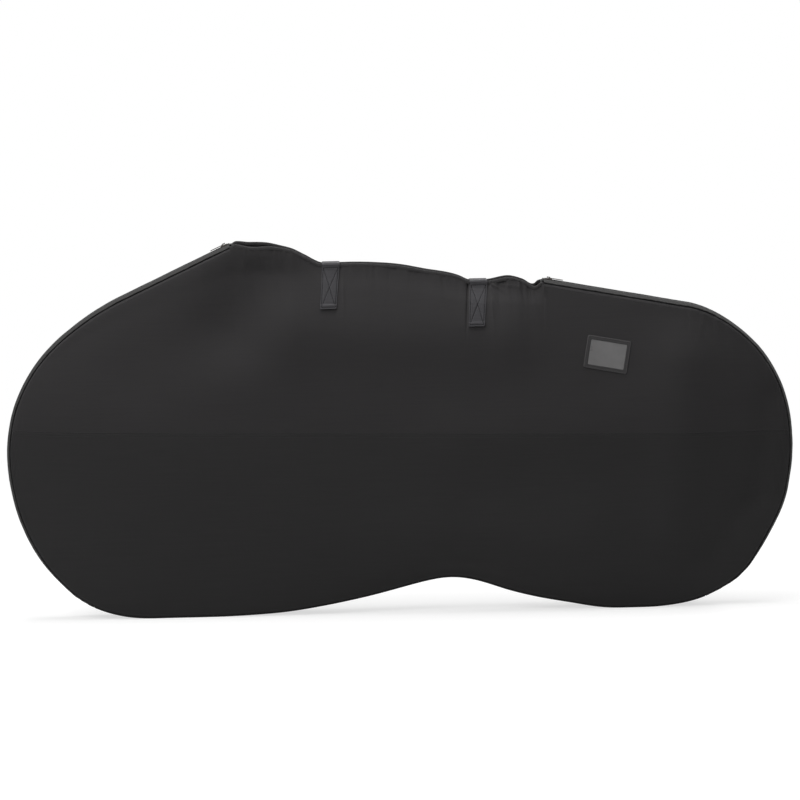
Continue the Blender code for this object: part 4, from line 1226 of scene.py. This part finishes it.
def make_band_strips(end, materials):
    """The fabric strips each side of a zip, with a stitched fold beside the teeth."""
    across, extra = band_profile(BAND_FOLD + BAND_FOLD_WIDTH)
    across = np.concatenate([BAND_FOLD + np.array(BAND_FOLD_PLACES), across])
    extra = np.concatenate([BAND_FOLD_DROP * np.array(BAND_FOLD_DROP_SHARES), extra])
    row = len(BAND_FOLD_PLACES) + 1
    for sign in (-1, 1):
        side = side_name(sign)
        drops = [band_drop(place, more, end, sign) for place, more in zip(across, extra)]
        grid, uv, toward = swept(zip_stations(end), STRIP_TRIM, sign * across, drops)
        made = shell(f"{end}_{side}_band_strip", grid, BAND_THICKNESS, uv, toward,
                     materials["band_fabric"])
        dress(made, "bag", "band_fabric", f"{end}_band_{side}")
        outward = np.broadcast_to(toward, grid.shape)[row]
        stitches(f"{end}_{side}_band_stitching", [(grid[row], outward)], materials["thread"])


def band_drop(place, more, end, sign):
    """A strip's depth below the outline at one place across it, with small puckers along its seam."""
    seed = 300 + 10 * sign + (5 if end == "front" else 0)

    def drop(height, along):
        toward_seam = max(0.0, (min(place, LIP_CENTRE) - BAND_STITCH) / (LIP_CENTRE - BAND_STITCH))
        pucker = ripples(along, BAND_PUCKERS, seed) * toward_seam
        wave = BAND_WAVE * ripple(along, BAND_WAVE_LENGTH, seed)
        return shoulder_drop(place, height) + more + pucker - wave

    return drop


def make_zip(end, materials):
    """The tapes and the coil of one zip."""
    indices = zip_stations(end)
    beyond = round(TAPE_END / HEM_STEP)
    way = -1 if end == "front" else 1
    taped = np.concatenate([(indices[0] + way * np.arange(beyond, 0, -1)) % len(STATIONS), indices])

    def tape_drop(height, along):
        return TAPE_TOP + TAPE_END_FALL * np.clip(1 - along / TAPE_END, 0.0, 1.0) ** 2

    across = np.linspace(TAPE_INNER, TAPE_OUTER, TAPE_ROWS)
    for sign in (-1, 1):
        side = side_name(sign)
        grid, uv, toward = swept(taped, STRIP_TRIM, sign * across, [tape_drop] * TAPE_ROWS)
        made = shell(f"{end}_{side}_tape", grid, TAPE_THICKNESS, uv, toward, materials["tape"])
        dress(made, "bag", "tape", f"{end}_zip_tape_{side}")
        make_coil(end, sign, indices, materials)


def make_coil(end, sign, indices, materials):
    """One side of the coil: a rounded tooth at every pitch, half a pitch from those opposite."""
    line = STATIONS[indices]
    along = lengths_along(line)
    first = ZIP_TOP_TRIM + (TOOTH_PITCH / 2 if sign > 0 else 0.0)
    places = np.arange(first, along[-1] - ZIP_END_TRIM, TOOTH_PITCH)
    normals = unit(read_off(places, along, NORMALS[indices]))
    centres = read_off(places, along, line) - normals * (TOOTH_HALF_HEIGHT + TOOTH_SINK)
    side = side_name(sign)
    made = rods(f"{end}_{side}_coil", in_space(centres, sign * TOOTH_REACH),
                in_space(centres, -sign * TOOTH_LAP), in_space(normals, 0.0), TOOTH_HALF_LENGTH,
                TOOTH_HALF_HEIGHT, materials["teeth"])
    dress(made, "bag", "teeth", f"{end}_zip_teeth_{side}")


def make_base_band(materials):
    """The fabric strip under the bag, between the lower ends of the two zips."""
    half, half_extra = band_profile(0.0)
    across = np.concatenate([-half[:0:-1], half])
    extra = np.concatenate([half_extra[:0:-1], half_extra])
    drops = [plain_drop(place, more) for place, more in zip(across, extra)]
    grid, uv, toward = swept(stretch("front_heel", "rear_heel"), STRIP_TRIM, across, drops)
    made = shell("base_strip", grid, BAND_THICKNESS, uv, toward, materials["lower_fabric"])
    dress(made, "bag", "lower_fabric", "base_band")


def plain_drop(place, more):
    """The depth below the outline at one place across, a fixed amount below the band's shoulder."""
    return lambda height, along: shoulder_drop(place, height) + more


def make_edge_tapes_and_groove_shade(sign, materials):
    """The binding in the seam between a side and the band. Where it shows in the groove between them,
    its near-black colour is painted shade that stands in for the groove's shadow.
    """
    across = sign * np.array(BINDING_ACROSS)
    drops = [plain_drop(place, more) for place, more in zip(across, BINDING_DROPS)]
    indices = stretch("front_zip_top", "rear_zip_top")
    grid, uv, toward = swept(indices, BINDING_TRIM, across, drops)
    made = shell(f"{side_name(sign)}_edge_tape", grid, BINDING_THICKNESS, uv, toward,
                 materials["binding"])
    dress(made, "bag", "binding", f"{side_name(sign)}_edge_binding")


# Hems
def hem_line():
    """The middle of the hems at their top, trimmed at its ends, and the distance along it."""
    points = STATIONS[stretch("rear_hem", "front_hem")]
    along = lengths_along(points)
    keep = (along > HEM_END_GAP) & (along < along[-1] - HEM_END_GAP)
    return points[keep], along[keep]


def make_hem(sign, materials):
    """The folded elastic hem along one side of the opening, gathered and stitched."""
    points, along = hem_line()
    seed = 500 + 10 * sign
    end = eased(np.minimum(along - along[0], along[-1] - along) / HEM_END_LENGTH)
    points[:, 1] -= hem_sag(points[:, 0], sign) + HEM_END_DROP * (1 - end)
    strapped = sewn_mask(points[:, 0], points[:, 1], 1)
    free = 1 - strapped
    strength = HEM_RUFFLE_SHARE * (1 + hump(points[:, 0] - HEM_RUFFLE_X, HEM_RUFFLE_REACH))
    ruffle = ripples(along, HEM_RUFFLES, seed) * strength * free
    plump = 1 + HEM_PLUMP_SHARE * ripple(along, HEM_PLUMP_LENGTH, seed + 2) * free
    plump = (plump - HEM_PRESSED_SHARE * strapped) * (HEM_END_SHARE + (1 - HEM_END_SHARE) * end)
    depth = HEM_MIDDLE_DEPTH - hem_lean(points[:, 0]) + ruffle
    angle = math.tau * np.arange(HEM_SIDES) / HEM_SIDES
    across = np.sign(np.cos(angle)) * np.abs(np.cos(angle)) ** HEM_SQUARENESS
    up = np.sign(np.sin(angle)) * np.abs(np.sin(angle)) ** HEM_SQUARENESS
    pinch = 1 - HEM_PINCH_SHARE * np.clip(-up, 0.0, 1.0) ** 2
    rings = np.zeros((len(points), HEM_SIDES, 3))
    rings[..., 0] = points[:, :1]
    rings[..., 1] = sign * (depth[:, None] + across * pinch * plump[:, None] * HEM_THICKNESS / 2)
    rings[..., 2] = points[:, 1:] - HEM_HEIGHT / 2 + up * HEM_HEIGHT / 2
    if sign > 0:
        rings = rings[:, ::-1]
    uv = np.stack([np.broadcast_to(along[:, None], rings.shape[:2]), rings[..., 2]], axis=-1)
    side = side_name(sign)
    dress(tube(f"{side}_elastic_hem", rings, uv, materials["hem"]), "bag", "hem", f"{side}_hem")
    face = depth + HEM_STITCH_SHARE * plump * HEM_THICKNESS / 2
    line = np.stack([points[:, 0], sign * face, points[:, 1] - HEM_STITCH_SHARE * HEM_HEIGHT], axis=1)
    outward = np.broadcast_to((0.0, sign, 0.0), line.shape)
    lines = [(line[run], outward[run]) for run in runs_of(strapped < 0.5)]
    stitches(f"{side}_hem_stitching", lines, materials["thread"])


# Straps
def strap_path(run, x, lean_x):
    """A strap's middle line at one place across it, from its sewn foot, over both hems, to its tip."""
    top = STATIONS[SPANS[run][0]][1]
    hem_foot = top - HEM_HEIGHT
    half = STRAP_THICKNESS / 2
    face = HEM_MIDDLE_DEPTH - hem_lean(x) + HEM_THICKNESS / 2
    rest = STRAP_CLEARANCE + half
    near_z = np.arange(strap_foot(run, -1), hem_foot - HEM_PASS_DROP, 2 * STRAP_STEP)
    near = [(-(side_depth(x + lean_x(z), z, -1) + rest), z) for z in near_z]
    far_z = np.arange(strap_foot(run, 1), hem_foot - HEM_PASS_DROP, 2 * STRAP_STEP)[::-1]
    far = [(side_depth(x, z, 1) + FLAP_LIFT + half, z) for z in far_z]
    turn = [(face + rest, top - HEM_TOP_TURN), (face - HEM_TOP_IN, top + rest)]
    near.append((-(face + rest), hem_foot + HEM_FOOT_RISE))
    near += [(-y, z) for y, z in turn]
    middle = [(0.0, top + rest - STRAP_DIP)] + turn[::-1]
    middle.append((face + FLAP_LIFT * FLAP_START_LIFT_SHARE + half, hem_foot))
    line = np.array(near + middle + far)
    fine = resampled(line, round(lengths_along(line)[-1] / STRAP_STEP))
    for _ in range(STRAP_SMOOTHINGS):
        fine[1:-1] = (fine[:-2] + 2 * fine[1:-1] + fine[2:]) / 4
    return fine


def strap_surface(run):
    """The middle surface of a strap: rows along it and columns across it."""
    low, high = STRAP_BOXES[run]
    across = np.linspace(-STRAP_WIDTH / 2, STRAP_WIDTH / 2, STRAP_COLUMNS)
    middle = (low.x + high.x) / 2

    def lean_x(z):
        return strap_middle(run, z) - middle

    paths = [strap_path(run, middle + place, lean_x) for place in across]
    count = min(len(path) for path in paths) - 1
    paths = [resampled(path, count) for path in paths]
    grid = np.zeros((count + 1, len(across), 3))
    for column, (place, path) in enumerate(zip(across, paths)):
        lean = np.where(path[:, 0] < 0, lean_x(path[:, 1]), 0.0)
        drawn_in = 1 + DRAW_IN_SHARE * lean / STRAP_LEAN
        grid[:, column, 0] = middle + place * drawn_in + lean
        grid[:, column, 1:] = path
    return grid, across


def make_strap(run, materials):
    """One strap as a single band of webbing that folds at the near hem, with its box stitching."""
    grid, across = strap_surface(run)
    along = lengths_along(grid[:, len(across) // 2])
    uv = np.stack(np.broadcast_arrays(across[None], along[:, None]), axis=-1)
    toward = strap_outward(grid)
    taper = 1 - STRAP_EDGE_SHARE * (np.abs(across) / (STRAP_WIDTH / 2)) ** STRAP_EDGE_POWER
    normals, _ = faced_normals(grid, toward)
    top = STATIONS[SPANS[run][0]][1]
    middle = grid[:, len(across) // 2]
    sewn = middle[:, 2] < top - BOX_TOP_DROP
    near = sewn & (middle[:, 1] < 0)
    far = sewn & (middle[:, 1] > 0)
    pressed = np.zeros(grid.shape[:2])
    near_box = box_corners(along[near][0] + BOX_FOOT_MARGIN, along[near][-1], crossed=True)
    far_box = box_corners(along[far][0], along[far][-1] - BOX_FOOT_MARGIN, crossed=False)
    for start, finish in near_box + far_box:
        away = distance_to_line(across[None, :], along[:, None], start, finish)
        pressed = np.maximum(pressed, hump(away, BOX_GROOVE_WIDTH))
    half = (STRAP_THICKNESS / 2 * taper)[None, :, None]
    folded = FOOT_FOLD_RISE * eased((FOOT_FOLD_LENGTH - along) / (FOOT_FOLD_LENGTH / 3))[:, None, None]
    raised = folded - BOX_GROOVE * pressed[..., None]
    surface = grid + normals * (half + raised)
    made = shell(f"{run}_webbing", surface, 2 * half + raised, uv, toward, materials["webbing"])
    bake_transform(made)
    dress(made, None, "webbing", run, f"{run}_flap")
    # The box stitching's near-black thread also paints the shade of its pressed grooves.
    for name, box, body in (("box", near_box, "bag"), ("tip", far_box, FLAP_BODIES[run])):
        lines = [sewn_line(surface, normals, across, along, start, finish) for start, finish in box]
        stitches(f"{run}_{name}_stitching", lines, materials["strap_thread_and_groove_shade"], body=body, slot="webbing",
                 radius=STRAP_THREAD_RADIUS, length_share=STRAP_STITCH_LENGTH_SHARE)


def strap_outward(grid):
    """Rough outward directions of a strap's surface: to the near side, up, and to the far side."""
    toward = np.zeros(grid.shape)
    toward[..., 1] = grid[..., 1]
    toward[..., 2] = np.maximum(0.0, grid[..., 2] - grid[..., 2].max() + STRAP_TOP_BAND)
    return unit(toward)


def box_corners(low, high, crossed):
    """The ends of the lines of a stitched box on a strap, as places across and along it, with a
    cross in it if asked."""
    half = STRAP_WIDTH / 2 - BOX_SIDE_MARGIN
    corners = [(-half, low), (half, low), (half, high), (-half, high)]
    pairs = list(zip(corners, corners[1:] + corners[:1]))
    if crossed:
        pairs += [(corners[0], corners[2]), (corners[1], corners[3])]
    return pairs


def sewn_line(surface, normals, across, along, start, end):
    """A line over a strap's surface between two places across and along it."""
    share = np.linspace(0.0, 1.0, SEWN_LINE_POINTS)
    x = start[0] + (end[0] - start[0]) * share
    y = start[1] + (end[1] - start[1]) * share
    column = np.interp(x, across, np.arange(len(across)))
    row = np.interp(y, along, np.arange(len(along)))
    return picked(surface, row, column), unit(picked(normals, row, column))


def picked(grid, rows, columns):
    """Values read off a grid at fractional rows and columns."""
    low_row = np.clip(np.floor(rows).astype(int), 0, grid.shape[0] - 2)
    low_column = np.clip(np.floor(columns).astype(int), 0, grid.shape[1] - 2)
    down = (rows - low_row)[:, None]
    over = (columns - low_column)[:, None]
    top = grid[low_row, low_column] * (1 - over) + grid[low_row, low_column + 1] * over
    bottom = grid[low_row + 1, low_column] * (1 - over) + grid[low_row + 1, low_column + 1] * over
    return top * (1 - down) + bottom * down


def make_patches(run, materials):
    """The loop patch sewn on the far side, and the hook patch under the flap with its hooks."""
    low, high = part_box(f"{run}_loop_patch")
    columns = np.linspace(low.x + PATCH_MARGIN, high.x - PATCH_MARGIN, PATCH_COLUMNS)
    x, z = np.meshgrid(columns, np.arange(low.z, high.z, PATCH_STEP))
    depth = side_depth(x, z, 1)
    flap = FLAP_BODIES[run]
    for kind, lift, thickness, body in (("loop", LOOP_LIFT, LOOP_THICKNESS, "bag"),
                                        ("hook", FLAP_LIFT, HOOK_THICKNESS, flap)):
        grid = np.stack([x, depth + lift - PATCH_SINK, z], axis=-1)
        made = shell(f"{run}_{kind}_tape", grid, thickness, grid[..., ::2], (0.0, 1.0, 0.0),
                     materials["fastener"])
        dress(made, body, "fastener", f"{run}_{kind}_patch")
    roots = np.stack([x, depth + FLAP_LIFT - HOOK_DROP, z], axis=-1).reshape(-1, 3)
    upward = np.broadcast_to((0.0, 0.0, 1.0), roots.shape)
    hooks = rods(f"{run}_hooks", roots, roots + HOOK_REACH, upward, HOOK_RADIUS, HOOK_RADIUS,
                 materials["fastener"])
    dress(hooks, flap, "fastener")


# Name window
def window_points(across, up, lift):
    """Places on the near side around the window's middle, in its tilted axes, lifted off the side."""
    tilt = math.radians(WINDOW_TILT_DEG)
    x = WINDOW_CENTRE[0] + across * math.cos(tilt) - up * math.sin(tilt)
    z = WINDOW_CENTRE[1] + across * math.sin(tilt) + up * math.cos(tilt)
    return np.stack([x, -(side_depth(x, z, -1) + lift), z], axis=-1)


def rounded_loop(width, height, radius):
    """Points round a rectangle with round corners."""
    points = []
    for quarter, (way_x, way_z) in enumerate(((1, 1), (-1, 1), (-1, -1), (1, -1))):
        for step in range(CORNER_STEPS + 1):
            angle = math.pi / 2 * (quarter + step / CORNER_STEPS)
            points.append((way_x * (width / 2 - radius) + radius * math.cos(angle),
                           way_z * (height / 2 - radius) + radius * math.sin(angle)))
    points.append(points[0])
    return resampled(np.array(points), FRAME_POINTS)


def make_window(materials):
    """The sewn frame of the name window and its clear film."""
    outer = rounded_loop(WINDOW_WIDTH + 2 * FRAME_BORDER, WINDOW_HEIGHT + 2 * FRAME_BORDER, FRAME_CORNER)
    inner = rounded_loop(WINDOW_WIDTH, WINDOW_HEIGHT, FRAME_CORNER / 2)
    toward = (0.0, -1.0, 0.0)
    loops = [outer * (1 - share) + inner * share for share, _ in FRAME_PROFILE_SHARES]
    rows = [window_points(*loop.T, rise * FRAME_RISE)
            for loop, (_, rise) in zip(loops, FRAME_PROFILE_SHARES)]
    border = shell("window_border", np.stack(rows), FRAME_THICKNESS, np.stack(loops), toward,
                   materials["hem"])
    dress(border, "bag", "hem", "name_window_frame")
    for name, share, thread in FRAME_STITCHES:
        loop = outer * (1 - share) + inner * share
        line = window_points(*loop.T, FRAME_RISE)
        stitches(f"window_{name}_stitching", [(line, np.broadcast_to(toward, line.shape))],
                 materials[thread], radius=STRAP_THREAD_RADIUS, length_share=STRAP_STITCH_LENGTH_SHARE)
    wide = WINDOW_WIDTH / 2 + FILM_LAP
    high = WINDOW_HEIGHT / 2 + FILM_LAP
    across, up = np.meshgrid(np.linspace(-wide, wide, FILM_COLUMNS), np.linspace(-high, high, FILM_ROWS))
    lift = FILM_LIFT + FILM_WAVE * swell_noise(across, up, FILM_WAVE_LENGTH, 91)
    film = shell("window_film", window_points(across, up, lift), FILM_THICKNESS,
                 np.stack([across, up], axis=-1), toward, materials["clear_film"])
    dress(film, "bag", "clear_film", "name_window_film")


def finish_metal(materials):
    """Round the edges of the frame's own metal pieces and give them their finish."""
    for name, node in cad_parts.items():
        if name.endswith(METAL_ENDINGS):
            weld = node.modifiers.new("Weld", "WELD")
            weld.merge_threshold = METAL_MERGE
            rounding = node.modifiers.new("Rounding", "BEVEL")
            rounding.width = METAL_ROUNDING
            rounding.segments = METAL_ROUNDING_SEGMENTS
            rounding.limit_method = "ANGLE"
            rounding.angle_limit = math.radians(METAL_ROUNDING_ANGLE_DEG)
            node.data.materials.clear()
            node.data.materials.append(materials["zip_metal"])


# Stage
def seen_directly(tree):
    """One for rays from the camera, from gloss and through clear film, and nought for the others."""
    path = put(tree, "ShaderNodeLightPath")
    seen = maths(tree, "MAXIMUM", path.outputs["Is Camera Ray"], path.outputs["Is Glossy Ray"])
    return maths(tree, "MAXIMUM", seen, path.outputs["Is Transmission Ray"])


def make_floor():
    """A white floor that keeps the bag's soft shadow."""
    bpy.ops.mesh.primitive_plane_add(size=FLOOR_SIZE, location=(0.0, 0.0, -FLOOR_DROP))
    floor = bpy.context.object
    floor.name = "floor"
    material = bpy.data.materials.new("floor_white")
    material.use_nodes = True
    tree = material.node_tree
    tree.nodes.clear()
    seen = seen_directly(tree)
    lit = put(tree, "ShaderNodeBsdfDiffuse", {"Color": (FLOOR_SHADE, FLOOR_SHADE, FLOOR_SHADE, 1.0)})
    glow = put(tree, "ShaderNodeEmission", {"Strength": maths(tree, "MULTIPLY", seen, FLOOR_GLOW)})
    both = put(tree, "ShaderNodeAddShader", {0: lit.outputs[0], 1: glow.outputs[0]})
    plain = put(tree, "ShaderNodeEmission", {"Strength": seen})
    place = put(tree, "ShaderNodeTexCoord").outputs["Object"]
    far = put(tree, "ShaderNodeVectorMath", {0: place}, operation="LENGTH").outputs["Value"]
    fade = put(tree, "ShaderNodeMapRange",
               {"Value": far, "From Min": SHADOW_REACH, "From Max": SHADOW_END},
               interpolation_type="SMOOTHSTEP")
    mix = put(tree, "ShaderNodeMixShader", {0: fade.outputs[0], 1: both.outputs[0], 2: plain.outputs[0]})
    output = put(tree, "ShaderNodeOutputMaterial")
    tree.links.new(mix.outputs[0], output.inputs[0])
    floor.data.materials.append(material)


def make_world():
    """A pale room: white where it is seen, and a plain soft light elsewhere."""
    world = bpy.data.worlds.new("studio")
    world.use_nodes = True
    tree = world.node_tree
    tree.nodes.clear()
    strength = put(tree, "ShaderNodeMapRange",
                   {"Value": seen_directly(tree), "To Min": ROOM_LIGHT, "To Max": 1.0})
    background = put(tree, "ShaderNodeBackground", {"Color": (1.0, 1.0, 1.0, 1.0),
                                                    "Strength": strength.outputs[0]})
    output = put(tree, "ShaderNodeOutputWorld")
    tree.links.new(background.outputs[0], output.inputs[0])
    bpy.context.scene.world = world


def make_softbox(name, place, aim, width, height, power):
    """A rectangular soft light."""
    light = bpy.data.lights.new(name, "AREA")
    light.shape = "RECTANGLE"
    light.size = width
    light.size_y = height
    light.energy = power
    lamp = bpy.data.objects.new(name, light)
    bpy.context.scene.collection.objects.link(lamp)
    lamp.location = place
    lamp.rotation_euler = (Vector(aim) - Vector(place)).to_track_quat("-Z", "Y").to_euler()


def make_camera():
    """The camera at the photograph's place, with its slight roll."""
    camera = bpy.data.objects.new("camera", bpy.data.cameras.new("camera"))
    bpy.context.scene.collection.objects.link(camera)
    camera.data.sensor_width = CAMERA_SENSOR
    camera.data.lens = CAMERA_LENS
    camera.data.clip_end = CAMERA_FAR
    turn = (Vector(CAMERA_AIM) - Vector(CAMERA_PLACE)).to_track_quat("-Z", "Y").to_matrix().to_4x4()
    roll = Matrix.Rotation(math.radians(CAMERA_ROLL_DEG), 4, "Z")
    camera.matrix_world = Matrix.Translation(CAMERA_PLACE) @ turn @ roll
    bpy.context.scene.camera = camera


def make_stage():
    """Floor, world, lights, camera and the plain view transform."""
    make_floor()
    make_world()
    for name, settings in LAMPS.items():
        make_softbox(name, *settings)
    make_camera()
    bpy.context.scene.view_settings.view_transform = "Standard"


def main():
    """Dress the frame and set the stage."""
    materials = make_materials()
    for sign in (-1, 1):
        make_panels(sign, materials)
        make_panel_stitches(sign, materials)
        make_seam_tape(sign, materials)
        make_edge_tapes_and_groove_shade(sign, materials)
        make_hem(sign, materials)
    make_base_band(materials)
    for end in ("front", "rear"):
        make_band_strips(end, materials)
        make_zip(end, materials)
    for run in STRAP_RUNS:
        make_strap(run, materials)
        make_patches(run, materials)
    make_window(materials)
    finish_metal(materials)
    make_stage()


main()
